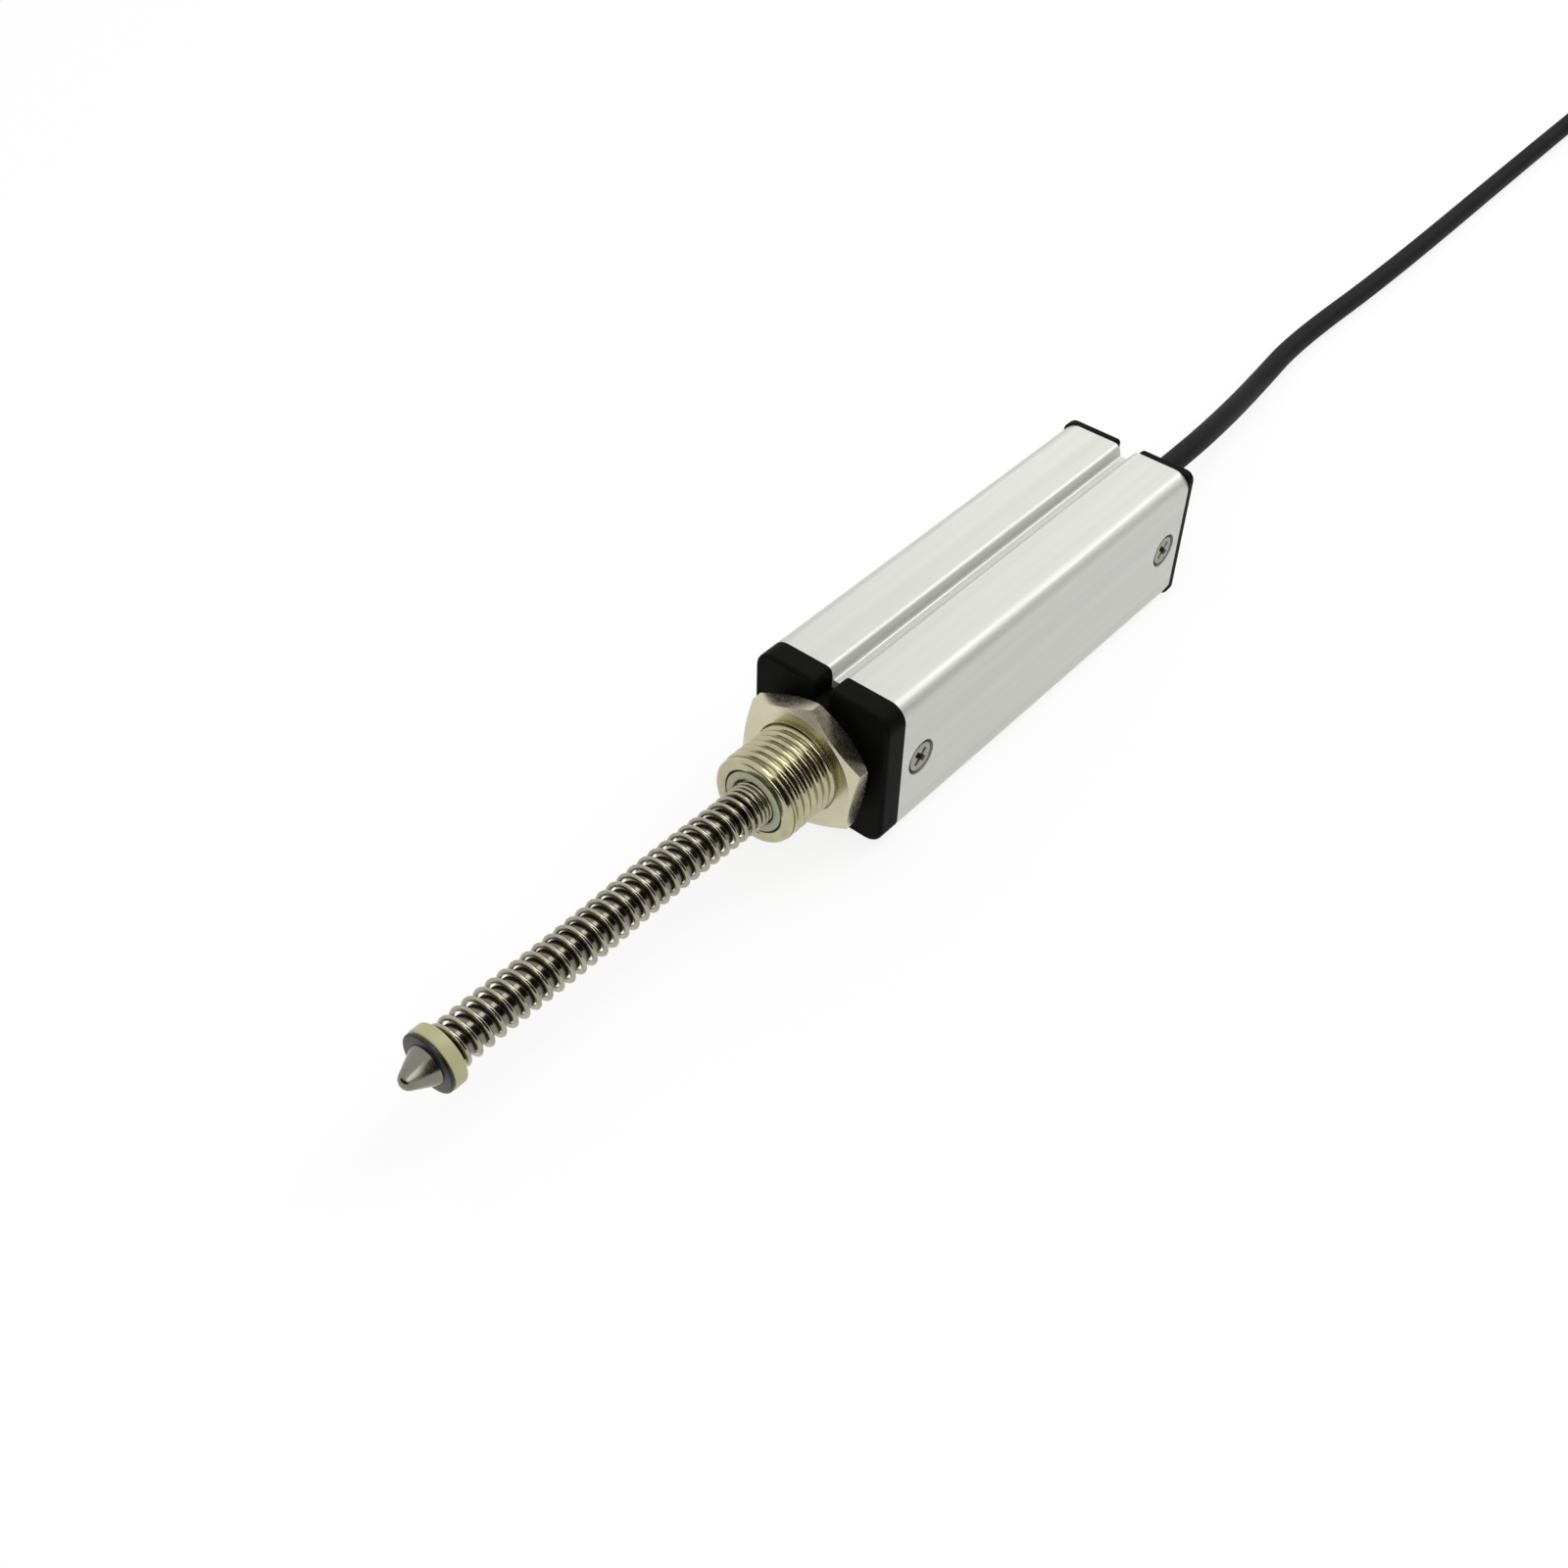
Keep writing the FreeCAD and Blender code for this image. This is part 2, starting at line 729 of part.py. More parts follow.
# wiper: bridge under the carriage with two sprung fingers over the tracks
finger = S.finger_width
leaf = S.wiper_thickness
bridge_front = REST - S.carriage_length / 4
bridge_back = REST - S.carriage_length / 2
finger_low = BOARD_TOP + S.track_thickness + S.running_clearance
finger_end = CARRIAGE_BACK + leaf * 4
toe = finger_end + leaf * 6
bridge = box(
    "wiper_bridge", bridge_back, -S.track_offset - finger / 2, carriage_low - leaf,
    bridge_front - bridge_back, S.track_offset * 2 + finger, leaf,
)
leaf_outline = [
    (bridge_front, carriage_low - leaf),
    (bridge_front, carriage_low),
    (bridge_back, carriage_low),
    (toe, finger_low + leaf),
    (finger_end, finger_low + leaf),
    (finger_end, finger_low),
    (toe + leaf / 4, finger_low),
    (bridge_back + leaf / 4, carriage_low - leaf),
]
fingers = []
for hand, tag in ((1, "near"), (-1, "far")):
    start = -(S.track_offset * hand) - finger / 2
    fingers.append(prism(f"finger_{tag}", "XZ_Plane", [leaf_outline], start, finger))
node(fuse("wiper_whole", [bridge] + fingers), "wiper_contact")

# rear cap: plate with a wide notch, plug and cable room
back = new_body("rear_cap_body")
back_plate = new_sketch(back, "YZ_Plane", REAR_FACE)
outline(
    back_plate,
    rounded(
        -HALF, HALF, ZERO, S.body_side, S.rear_corner,
        notch(S.rear_notch_width / 2, S.body_side, S.rear_notch_depth, S.rear_notch_edge),
    ),
)
pad(back, back_plate, S.plate_thickness)


def on_rear_rim(edge):
    return all(abs(v.X - REAR_FACE.value) < 1e-6 for v in edge.Vertexes)


break_edges(back, S.cap_edge, on_rear_rim)
back_plug = new_sketch(back, "YZ_Plane", REAR)
outline(back_plug, plug_outline())
pad(back, back_plug, S.plug_length)
grommet_bore = cylinder(
    "grommet_room", S.grommet_radius, POCKET_END - REAR_FACE, ALONG_X, REAR_FACE,
)
pocket = cylinder("pocket", S.pocket_radius, S.pocket_depth, ALONG_X, POCKET_END)
tools = [grommet_bore, pocket] + cross_holes("rear_tap", SCREW_REAR)
node(cut("rear_cap_cut", back, tools), "rear_cap")

# grommet snapped into the rear cap, with a boot that flares down to the cable
sleeve = S.cable_radius + S.fit_clearance
lip = S.pocket_radius - S.fit_clearance * 3
lip_x = POCKET_END + S.bumper_thickness * 0.8
collar_end = REAR_FACE - S.bumper_thickness
sleeve_end = REAR_FACE - S.grommet_length
grommet = [
    (sleeve_end, sleeve),
    (sleeve_end, S.cable_radius + S.boot_wall, S.boot_flare, 1),
    (sleeve_end + S.boot_taper, S.boot_radius),
    (collar_end, S.boot_radius),
    (collar_end, S.grommet_collar),
    (REAR_FACE, S.grommet_collar),
    (REAR_FACE, S.grommet_radius - S.fit_clearance),
    (POCKET_END, S.grommet_radius - S.fit_clearance),
    (POCKET_END, lip),
    (lip_x, lip),
    (lip_x, sleeve),
]
node(lathe("grommet", grommet), "cable_grommet")
clamp_end = lip_x + S.clamp_length
clamp = [
    (lip_x, sleeve),
    (lip_x, S.grommet_radius),
    (clamp_end, S.grommet_radius),
    (clamp_end, sleeve),
]
node(lathe("clamp", clamp), "cable_clamp")

# square solder posts on the board
cable_end = clamp_end + S.rest_gap
post_height = S.bumper_thickness * 0.6
posts = []
for i in (-1, 0, 1):
    post = box(
        f"post_{i + 1}", post_x - post_half, S.terminal_pitch * i - post_half, BOARD_TOP,
        post_half * 2, post_half * 2, post_height,
    )
    posts.append(post)
node(group("posts", posts), "solder_terminals")


def tube(name, spots, radius):
    """Round tube along straight runs joined by tangent arcs."""
    edges = []
    here = spots[0]
    radii = []
    for before, corner, after in zip(spots, spots[1:], spots[2:]):
        came = (corner - before).normalize()
        goes = (after - corner).normalize()
        turn = came.getAngle(goes)
        reach = 0.45 * min((corner - before).Length, (after - corner).Length)
        bend = reach / math.tan(turn / 2)
        radii.append(round(bend, 1))
        start = corner - came * reach
        end = corner + goes * reach
        inward = (goes - came).normalize()
        middle = corner + inward * (bend / math.cos(turn / 2) - bend)
        edges.append(Part.LineSegment(here, start).toShape())
        edges.append(Part.Arc(start, middle, end).toShape())
        here = end
    edges.append(Part.LineSegment(here, spots[-1]).toShape())
    path = Part.Wire(edges)
    disc = Part.Wire(Part.Circle(spots[0], spots[1] - spots[0], radius).toShape())
    solid = path.makePipeShell([disc], True, False)
    share = solid.Volume / (math.pi * radius * radius * path.Length)
    print(f"{name}: length {path.Length:.1f}, bends {radii}, volume share {share:.4f}")
    part = doc.addObject("Part::Feature", name)
    part.Shape = solid
    return part


# leads from the cable's inner end to the posts
core_step = S.core_radius * 2.1
for i, name in ((-1, "lead_brown"), (0, "lead_black"), (1, "lead_blue")):
    spots = [
        Vector(cable_end.value, core_step.value * i, AXIS.value),
        Vector(post_x.value, S.terminal_pitch.value * i, (BOARD_TOP + post_height).value),
    ]
    node(tube(f"{name}_tube", spots, S.lead_radius.value), name)

# cable from the inside of the rear cap along the table to the hank
x_back = REAR_FACE.value
thick = S.cable_radius.value * 2
bend_out = S.hank_bend.value + thick
hank_x = x_back - HANK_START - bend_out - thick / 2
hank_y = ROUTE[-1][1] + bend_out
spots = [Vector(cable_end.value, 0, AXIS.value)]
spots.append(Vector(x_back - EXIT_RUN, 0, AXIS.value))
spots += [Vector(x_back - a, b, c) for a, b, c in ROUTE]
spots.append(Vector(hank_x + thick * 2, ROUTE[-1][1], S.cable_radius.value + S.tie_thickness.value))
node(tube("cable_tube", spots, S.cable_radius.value), "cable")

# hank: flattened ring of cable turns, lying on its ties
hank_mid = Size(hank_x, repr(hank_x))
hank_side = Size(hank_y, repr(hank_y))
run = S.hank_run


def oval(radius):
    low = hank_side - radius
    high = hank_side + radius
    far = hank_mid - run
    return [
        (far, low),
        (hank_mid, low, radius, 1),
        (hank_mid + radius, hank_side, radius, 1),
        (hank_mid, high),
        (far, high, radius, 1),
        (far - radius, hank_side, radius, 1),
    ]


hank_height = S.cable_radius * (2 * S.hank_layers.value)
inner_oval = S.hank_bend - S.cable_radius
outer_oval = S.hank_bend + S.cable_radius * 3
ovals = [oval(outer_oval), oval(inner_oval)]
node(prism("hank", "XY_Plane", ovals, S.tie_thickness, hank_height), "cable_hank")

# ties around the two straight sides of the hank
ties = []
strap = S.tie_thickness
tie_x = hank_mid - run / 2 - S.tie_width / 2
bundle = S.cable_radius * 4
for hand, tag in ((1, "near"), (-1, "far")):
    side = hank_side + (inner_oval + bundle / 2) * hand - bundle / 2 - strap
    outer = box(
        f"tie_{tag}_outer", tie_x, side, ZERO,
        S.tie_width, bundle + strap * 2, hank_height + strap * 2,
    )
    room = box(f"tie_{tag}_room", tie_x, side + strap, strap, S.tie_width, bundle, hank_height)
    ties.append(cut(f"tie_{tag}", outer, [room]))
node(group("ties", ties), "hank_ties")

# free end inside the hank: sheath, three cores and their tinned tips
TAIL_STEP = 6.0
TAIL_LENGTH = 20.0
CORE_LENGTH = 11.0
CORE_SPREAD = 1.6
TINNED_LENGTH = 3.0
low_z = S.cable_radius.value + S.tie_thickness.value
tail_start = Vector(hank_x - S.hank_run.value, hank_y + S.hank_bend.value, low_z)
tail_end = tail_start + Vector(TAIL_LENGTH, -TAIL_STEP, 0)
node(tube("tail_tube", [tail_start, tail_end], S.cable_radius.value), "cable_tail")
tinned = []
for i, name in ((-1, "core_brown"), (0, "core_black"), (1, "core_blue")):
    start = tail_end + Vector(0, core_step.value * i, 0)
    finish = start + Vector(CORE_LENGTH, CORE_SPREAD * i, 0)
    node(tube(f"{name}_tube", [start, finish], S.core_radius.value), name)
    tinned_tip = doc.addObject("Part::Feature", f"{name}_tip")
    tip_radius = S.core_radius.value * 0.6
    tinned_tip.Shape = Part.makeCylinder(tip_radius, TINNED_LENGTH, finish, finish - start)
    tinned.append(tinned_tip)
node(group("tinned", tinned), "core_ends")

doc.recompute()

faults = []
for part in doc.Objects:
    if "Invalid" in part.State or "Error" in part.State:
        faults.append(f"{part.Label}: {part.State}")
for part in nodes:
    if part.Shape.isNull() or not part.Shape.isValid() or not part.Shape.Solids:
        faults.append(f"{part.Label}: shape not valid")
if faults:
    raise RuntimeError("; ".join(faults))

os.makedirs("parts", exist_ok=True)
for part in nodes:
    part.Shape.exportStep(f"parts/{part.Label}.step")
    bounds = part.Shape.BoundBox
    print(
        f"{part.Label}: solids {len(part.Shape.Solids)}, volume {part.Shape.Volume:.2f}, "
        f"x {bounds.XMin:.2f}..{bounds.XMax:.2f}, y {bounds.YMin:.2f}..{bounds.YMax:.2f}, "
        f"z {bounds.ZMin:.2f}..{bounds.ZMax:.2f}"
    )
print(f"{len(nodes)} nodes")
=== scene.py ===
"""Dresses a spring-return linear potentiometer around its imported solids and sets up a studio."""

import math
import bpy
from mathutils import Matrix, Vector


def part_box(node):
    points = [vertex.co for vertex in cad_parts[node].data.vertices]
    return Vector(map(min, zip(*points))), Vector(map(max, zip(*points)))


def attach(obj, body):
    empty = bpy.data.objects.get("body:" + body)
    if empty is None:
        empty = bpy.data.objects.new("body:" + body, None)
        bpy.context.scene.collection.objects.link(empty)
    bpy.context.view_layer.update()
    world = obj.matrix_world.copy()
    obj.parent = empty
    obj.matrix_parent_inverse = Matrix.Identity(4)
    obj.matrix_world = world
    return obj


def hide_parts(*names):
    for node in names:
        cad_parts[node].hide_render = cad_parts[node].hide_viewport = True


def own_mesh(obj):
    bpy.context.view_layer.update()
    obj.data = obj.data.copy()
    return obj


bl_info = {
    "name": "Linear potentiometer",
    "version": (1, 0, 0),
    "blender": (4, 5, 0),
    "location": "View3D > Sidebar > Sensor",
    "description": "Models a spring-return linear potentiometer and its studio",
    "category": "Mesh",
}

from contextlib import contextmanager

import bmesh
import bpy
from bpy.props import FloatProperty, FloatVectorProperty, IntProperty, PointerProperty
from bpy.types import Operator, Panel, PropertyGroup
from mathutils import Matrix, Vector

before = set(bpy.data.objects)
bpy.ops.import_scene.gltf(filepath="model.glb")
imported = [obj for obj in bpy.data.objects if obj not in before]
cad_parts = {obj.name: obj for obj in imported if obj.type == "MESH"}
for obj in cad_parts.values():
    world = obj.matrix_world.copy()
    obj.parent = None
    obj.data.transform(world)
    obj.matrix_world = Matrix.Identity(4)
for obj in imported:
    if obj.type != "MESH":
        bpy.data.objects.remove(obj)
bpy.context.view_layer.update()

MM = 0.001
ALONG_ROD = Vector((1, 0, 0))
ACROSS = Vector((0, 1, 0))
UP = Vector((0, 0, 1))


def ends(node, axis=0):
    """Lowest and highest coordinate of a CAD node along one axis."""
    low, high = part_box(node)
    return low[axis], high[axis]


# stations along the rod and heights, read from the frame
BODY_BACK, BODY_FACE = ends("housing_profile")
BASE, BODY_TOP = ends("housing_profile", 2)
HALF = (BODY_TOP - BASE) / 2
AXIS = BASE + HALF
PLUG_BACK, BOSS_FACE = ends("front_cap")
NUT_BACK, NUT_FACE = ends("lock_nut")
NOSE_BACK, NOSE_END = ends("nose_bushing")
BUSH_BACK, BUSH_FACE = ends("guide_bush")
WASHER_BACK, WASHER_FACE = ends("spring_washer")
DISC_FACE = ends("tip_disc")[1]
TIP_END = ends("contact_tip")[1]
ROD_BACK, ROD_END = ends("plunger_rod")
REST = ends("carriage")[1]
REAR_FACE, REAR_PLUG = ends("rear_cap")
GROMMET_END, GROMMET_FRONT = ends("cable_grommet")
SCREW_FRONT = sum(ends("front_cap_screws")) / 2
SCREW_REAR = sum(ends("rear_cap_screws")) / 2
ON_AXIS = Vector((0, 0, AXIS))

# the nose's shoulder in the front cap and the grommet's lip in the rear cap
SHOULDER = BODY_FACE + 2.2 * MM
POCKET = REAR_PLUG - 4.5 * MM

# room between fitted pieces, room round the sliding rod, a cutter's reach past a face,
# and how near two points are that count as one
FIT = 0.03 * MM
SLIDE = 0.05 * MM
PAST = 1.0 * MM
TOUCH = 0.001 * MM

# cable route, the same points as the solid tube's
ROUTE = (
    (-0.02145, 0.0, 0.0085),
    (-0.0415, 0.0, 0.0085),
    (-0.0565, -0.0024, 0.0056),
    (-0.0715, -0.0056, 0.0021),
    (-0.0855, -0.0076, 0.00142),
    (-0.1115, -0.0068, 0.00142),
    (-0.1595, -0.0076, 0.00142),
    (-0.1941, -0.0076, 0.0020),
)


def paint(code):
    """Turns an sRGB hex value into the linear colour that a shader takes."""
    shares = [int(code[i:i + 2], 16) / 255 for i in (1, 3, 5)]
    linear = [s / 12.92 if s <= 0.04045 else ((s + 0.055) / 1.055) ** 2.4 for s in shares]
    return (*linear, 1.0)


def length(label, note, value):
    """A size property whose default is given in millimetres."""
    return FloatProperty(
        name=label, description=note, default=value * MM, unit="LENGTH", precision=5
    )


def colour(label, note, code):
    """A colour property with an sRGB hex default."""
    return FloatVectorProperty(
        name=label, description=note, default=paint(code), size=4, min=0.0, max=1.0, subtype="COLOR"
    )


class BodySizes(PropertyGroup):
    """Sizes of the aluminium profile, its caps and its screws"""

    corner: length("Corner radius", "Rounding of the profile's long edges", 2.0)
    wall: length("Wall", "Wall of the hollow profile", 1.6)
    slot_width: length("Slot width", "Width of the slot along the top", 1.5)
    slot_depth: length("Slot depth", "Depth of the slot along the top", 1.4)
    slot_edge: length("Slot edge", "Rounding of the slot's lips", 0.95)
    slot_round: length("Slot round", "Rounding of the slot's lower corners", 0.4)
    slot_floor: length("Slot floor", "Metal between the slot and the hollow", 2.2)
    hollow_corner: length("Hollow corner", "Rounding of the hollow's long edges", 0.8)
    groove_depth: length("Groove depth", "Depth of the board grooves in the side walls", 0.7)
    cap_thickness: length("Cap thickness", "Plate of the front cap", 2.8)
    cap_edge: length("Cap edge", "Rounding of the caps' outer rims", 0.45)
    boss_radius: length("Boss radius", "Round seat of the lock nut on the front cap", 6.3)
    notch_width: length("Notch width", "Width of the front cap's notch", 1.6)
    notch_depth: length("Notch depth", "Depth of both caps' notches", 2.4)
    notch_edge: length("Notch edge", "Rounding of the front notch's lips", 0.7)
    rear_corner: length("Rear corner", "Rounding of the rear cap's long edges", 1.2)
    rear_notch_width: length("Rear notch width", "Width of the rear cap's notch", 2.8)
    rear_notch_edge: length("Rear notch edge", "Rounding of the rear notch's lips", 0.5)
    sink_radius: length("Countersink radius", "Radius of the screws' countersinks", 2.03)
    sink_step: length("Countersink step", "Straight depth round the screw heads", 1.2)
    head_radius: length("Head radius", "Radius of the screw heads", 1.68)
    head_lift: length("Head lift", "Height of the heads above the solids' heads", 0.18)
    shank_radius: length("Shank radius", "Radius of the screw shanks", 1.0)
    screw_length: length("Screw length", "Reach of the screws into the body", 5.0)


class NoseSizes(PropertyGroup):
    """Sizes of the threaded nose, its nut and its guide bush"""

    thread_radius: length("Thread radius", "Major radius of the M10 thread", 5.0)
    pitch: length("Pitch", "Pitch of the thread", 1.0)
    rim: length("Rim", "Plain length at the front of the nose", 0.75)
    collar_radius: length("Collar radius", "Collar held by the front cap", 4.9)
    nut_flats: length("Nut flats", "Width across the nut's flats", 14.0)
    bush_radius: length("Bush radius", "Outer radius of the guide bush", 3.45)
    seat_radius: length("Seat radius", "Radius of the spring's seat", 2.6)
    seat_depth: length("Seat depth", "Depth of the spring's seat", 1.0)
    mouth: length("Mouth", "Chamfer of the nose round its bush", 0.35)


class PlungerSizes(PropertyGroup):
    """Sizes of the rod, its spring and its tip"""

    rod_radius: length("Rod radius", "Radius of the sliding rod", 1.75)
    stud_radius: length("Stud radius", "Radius of the rod's stud in the tip", 1.0)
    wire: length("Wire", "Diameter of the spring's wire", 0.54)
    coil_radius: length("Coil radius", "Mean radius of the spring's turns", 2.18)
    open_pitch: length("Open pitch", "Distance between the spring's free turns", 1.4)
    closed_pitch: length("Closed pitch", "Distance between the spring's end turns", 0.55)
    bow: length("Bow", "How far the slack spring leans to each side", 0.08)
    washer_radius: length("Washer radius", "Radius of the washer behind the tip", 3.2)
    disc_radius: length("Disc radius", "Radius of the disc behind the cone", 3.15)
    cone_radius: length("Cone radius", "Radius of the cone at the disc", 2.15)
    cone_end: length("Cone end", "Radius of the cone's rounded end", 1.0)


class CableSizes(PropertyGroup):
    """Sizes of the cable and its hank"""

    radius: length("Radius", "Radius of the cable's sheath", 1.4)
    real_length: length("Length", "Whole length of the cable outside the rear cap", 1000.0)
    hank_run: length("Hank run", "Straight sides of the hank", 45.5)
    hank_bend: length("Hank bend", "Radius of the hank's inner turns", 7.5)
    neck_radius: length("Neck radius", "Radius of the grommet in the rear cap", 2.17)
    lip_radius: length("Lip radius", "Radius of the grommet's lip inside the rear cap", 2.71)
    boot_radius: length("Boot radius", "Radius of the grommet's boot", 2.95)
    boot_wall: length("Boot wall", "Wall of the boot at its thin end", 0.15)
    boot_taper: length("Boot taper", "Length of the boot's flare", 2.2)
    tie_thickness: length("Tie thickness", "Thickness of the ties' straps", 0.6)
    layers: IntProperty(name="Layers", description="Layers of turns in the hank", default=3, min=1)


class Finishes(PropertyGroup):
    """Colours of the finishes"""

    aluminium: colour("Aluminium", "Clear anodised profile", "#CBCCC6")
    cap: colour("Caps", "Black moulded caps", "#0D0D0C")
    nickel: colour("Nickel", "Plated nose", "#B2AD90")
    # the nut's nickel is painted paler than the nose's: a painted reflection of the bright floor
    # that its faces mirror
    nut: colour("Nut", "Plated lock nut", "#CAC4AA")
    screw: colour("Screws", "Zinc-plated screws", "#96968A")
    bush: colour("Bush", "Pale guide bush", "#B6B89C")
    washer: colour("Washer", "Olive-cream washer", "#B3B084")
    spring: colour("Spring", "Spring wire", "#A19D8A")
    disc: colour("Disc", "Blackened disc of the tip", "#3C3D3B")
    tip: colour("Tip", "Turned steel tip", "#807E74")
    rod: colour("Rod", "Ground steel rod", "#77746A")
    sheath: colour("Sheath", "Cable sheath and grommet", "#191A19")


def sizes(name):
    """One of the scene's groups of sizes."""
    return getattr(bpy.context.scene, f"sensor_{name}")


# modelling steps


def take(piece):
    """Makes a piece the only selected and active one."""
    bpy.ops.object.select_all(action="DESELECT")
    piece.select_set(True)
    bpy.context.view_layer.objects.active = piece
    return piece


@contextmanager
def editing(piece):
    """Edit mode on a piece, with all of it selected."""
    take(piece)
    bpy.ops.object.mode_set(mode="EDIT")
    bpy.ops.mesh.select_all(action="SELECT")
    yield
    bpy.ops.object.mode_set(mode="OBJECT")


def named(name):
    """Names the newest object and puts its place into its mesh."""
    piece = take(bpy.context.object)
    piece.name = name
    bpy.ops.object.transform_apply(location=True, rotation=True, scale=True)
    return piece


def block(name, low, high):
    """Box between two corners."""
    low = Vector(low)
    high = Vector(high)
    bpy.ops.mesh.primitive_cube_add(size=1, location=(low + high) / 2)
    bpy.context.object.scale = high - low
    return named(name)


def apply(piece, modifier):
    """Applies a modifier to its piece."""
    take(piece)
    bpy.ops.object.modifier_apply(modifier=modifier.name)


def carve(piece, cutter, way="DIFFERENCE"):
    """Cuts, joins or intersects a piece with a second one, which is used up."""
    step = piece.modifiers.new("cut", "BOOLEAN")
    step.operation = way
    step.solver = "EXACT"
    step.object = cutter
    apply(piece, step)
    take(cutter)
    bpy.ops.object.delete()
    take(piece)


def join(name, first, second):
    """Makes one piece of two."""
    take(first)
    second.select_set(True)
    bpy.ops.object.join()
    return named(name)


def round_edges(piece, radius, segments, wanted):
    """Rounds the edges that a test on their two ends picks out."""
    with editing(piece):
        bpy.ops.mesh.select_mode(type="EDGE")
        bpy.ops.mesh.select_all(action="DESELECT")
        for edge in bmesh.from_edit_mesh(piece.data).edges:
            if wanted(*(v.co for v in edge.verts)):
                edge.select_set(True)
        bmesh.update_edit_mesh(piece.data)
        bpy.ops.mesh.bevel(offset=radius, segments=segments, affect="EDGES")


def near(a, b):
    """True for two coordinates that count as one."""
    return abs(a - b) < TOUCH


def lengthwise(a, b):
    """True for an edge that runs along the rod."""
    return near(a.y, b.y) and near(a.z, b.z)


def twin_edges(aside, height):
    """Test for the two lengthwise edges at a height, one on each side of the middle."""
    return lambda a, b: lengthwise(a, b) and near(abs(a.y), aside) and near(a.z, height)


def soften(piece, width, segments=3, angle=35):
    """Breaks a piece's sharp edges with an applied bevel."""
    step = piece.modifiers.new("edges", "BEVEL")
    step.width = width
    step.segments = segments
    step.limit_method = "ANGLE"
    step.angle_limit = math.radians(angle)
    apply(piece, step)


def smooth(piece, angle):
    """Smooth shading that keeps flat faces flat."""
    take(piece)
    bpy.ops.object.shade_smooth_by_angle(angle=math.radians(angle))
    step = piece.modifiers.new("normals", "WEIGHTED_NORMAL")
    step.keep_sharp = True
    apply(piece, step)


def draw(name, spots):
    """Line of edges through some points, drawn by extruding a point."""
    bpy.ops.mesh.primitive_plane_add(size=MM, location=spots[0])
    piece = named(name)
    with editing(piece):
        bpy.ops.mesh.select_mode(type="VERT")
        bpy.ops.mesh.merge(type="CENTER")
        for before, after in zip(spots, spots[1:]):
            bpy.ops.mesh.extrude_vertices_move(TRANSFORM_OT_translate={"value": after - before})
    return piece


def close(piece):
    """Merges doubles and turns the faces outwards."""
    with editing(piece):
        bpy.ops.mesh.remove_doubles(threshold=TOUCH)
        bpy.ops.mesh.normals_make_consistent(inside=False)


def turned(name, profile, steps=96, along=ALONG_ROD, centre=ON_AXIS):
    """Turned solid: a line of (station, radius) points spun about an axis."""
    piece = draw(name, [centre + along * s + UP * r for s, r in profile])
    with editing(piece):
        bpy.ops.mesh.spin(steps=steps, angle=2 * math.pi, center=centre, axis=along)
    close(piece)
    return piece


def ring(inner, outer, back, face):
    """Closed profile of a plain ring."""
    return [(back, inner), (back, outer), (face, outer), (face, inner), (back, inner)]


def solid(*points):
    """Profile that is closed to the axis at both ends."""
    return [(points[0][0], 0), *points, (points[-1][0], 0)]


def rod_profile(radius, back, face):
    """Profile of a plain cylinder."""
    return solid((back, radius), (face, radius))


def tube(name, points, radius, rounding, kind, steps=12):
    """Round wire along some points: a curve with a thickness."""
    line = bpy.data.curves.new(f"{name}_line", "CURVE")
    line.dimensions = "3D"
    line.bevel_depth = radius
    line.bevel_resolution = rounding
    line.use_fill_caps = True
    line.resolution_u = steps
    spline = line.splines.new(kind)
    spline.points.add(len(points) - 1)
    for spot, point in zip(spline.points, points):
        spot.co = (*point, 1)
    piece = bpy.data.objects.new(name, line)
    bpy.context.collection.objects.link(piece)
    return piece


def hand_over(piece, body, slot, material, *nodes, angle=35):
    """Smooths a finished piece and gives it its material and its place in the frame."""
    if piece.type == "MESH":
        smooth(piece, angle)
    piece.data.materials.clear()
    piece.data.materials.append(material)
    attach(piece, body)
    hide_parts(*nodes)


# materials


def add(tree, kind, inputs=(), **settings):
    """Adds a node with its settings, and values or links for its inputs."""
    node = tree.nodes.new(kind)
    for key, value in settings.items():
        setattr(node, key, value)
    for key, value in dict(inputs).items():
        if isinstance(value, bpy.types.NodeSocket):
            tree.links.new(value, node.inputs[key])
        else:
            node.inputs[key].default_value = value
    return node


def surface(
    name, base, rough, metal=0.0, grit=0.2 * MM, depth=0.004 * MM,
    stretch=(1, 1, 1), play=0.05, uneven=0.05, **sockets,
):
    """Material of one shader: fine noise for bump and gloss, coarse noise for a play of colour."""
    material = bpy.data.materials.get(name)
    if material:
        return material
    material = bpy.data.materials.new(name)
    material.use_nodes = True
    tree = material.node_tree
    shader = tree.nodes["Principled BSDF"]
    shader.inputs["Metallic"].default_value = metal
    for socket, value in sockets.items():
        shader.inputs[socket.replace("_", " ")].default_value = value
    place = add(tree, "ShaderNodeTexCoord").outputs["Object"]

    def noise(spacing, low, high):
        scale = [1 / (spacing * s) for s in stretch]
        mapped = add(tree, "ShaderNodeMapping", {"Vector": place, "Scale": scale}).outputs["Vector"]
        cloud = add(tree, "ShaderNodeTexNoise", {"Vector": mapped, "Scale": 1.0, "Detail": 3.0})
        height = cloud.outputs["Fac"]
        span = {"Value": height, "From Min": 0.3, "From Max": 0.7, "To Min": low, "To Max": high}
        return height, add(tree, "ShaderNodeMapRange", span).outputs["Result"]

    height, gloss = noise(grit, rough - uneven, rough + uneven)
    tree.links.new(gloss, shader.inputs["Roughness"])
    bump = add(tree, "ShaderNodeBump", {"Height": height, "Strength": 1.0, "Distance": depth})
    tree.links.new(bump.outputs["Normal"], shader.inputs["Normal"])
    coarse = grit * 8
    tint = noise(coarse, 1 - play, 1 + play)[1]
    shade = add(tree, "ShaderNodeHueSaturation", {"Color": base, "Value": tint})
    tree.links.new(shade.outputs["Color"], shader.inputs["Base Color"])
    return material


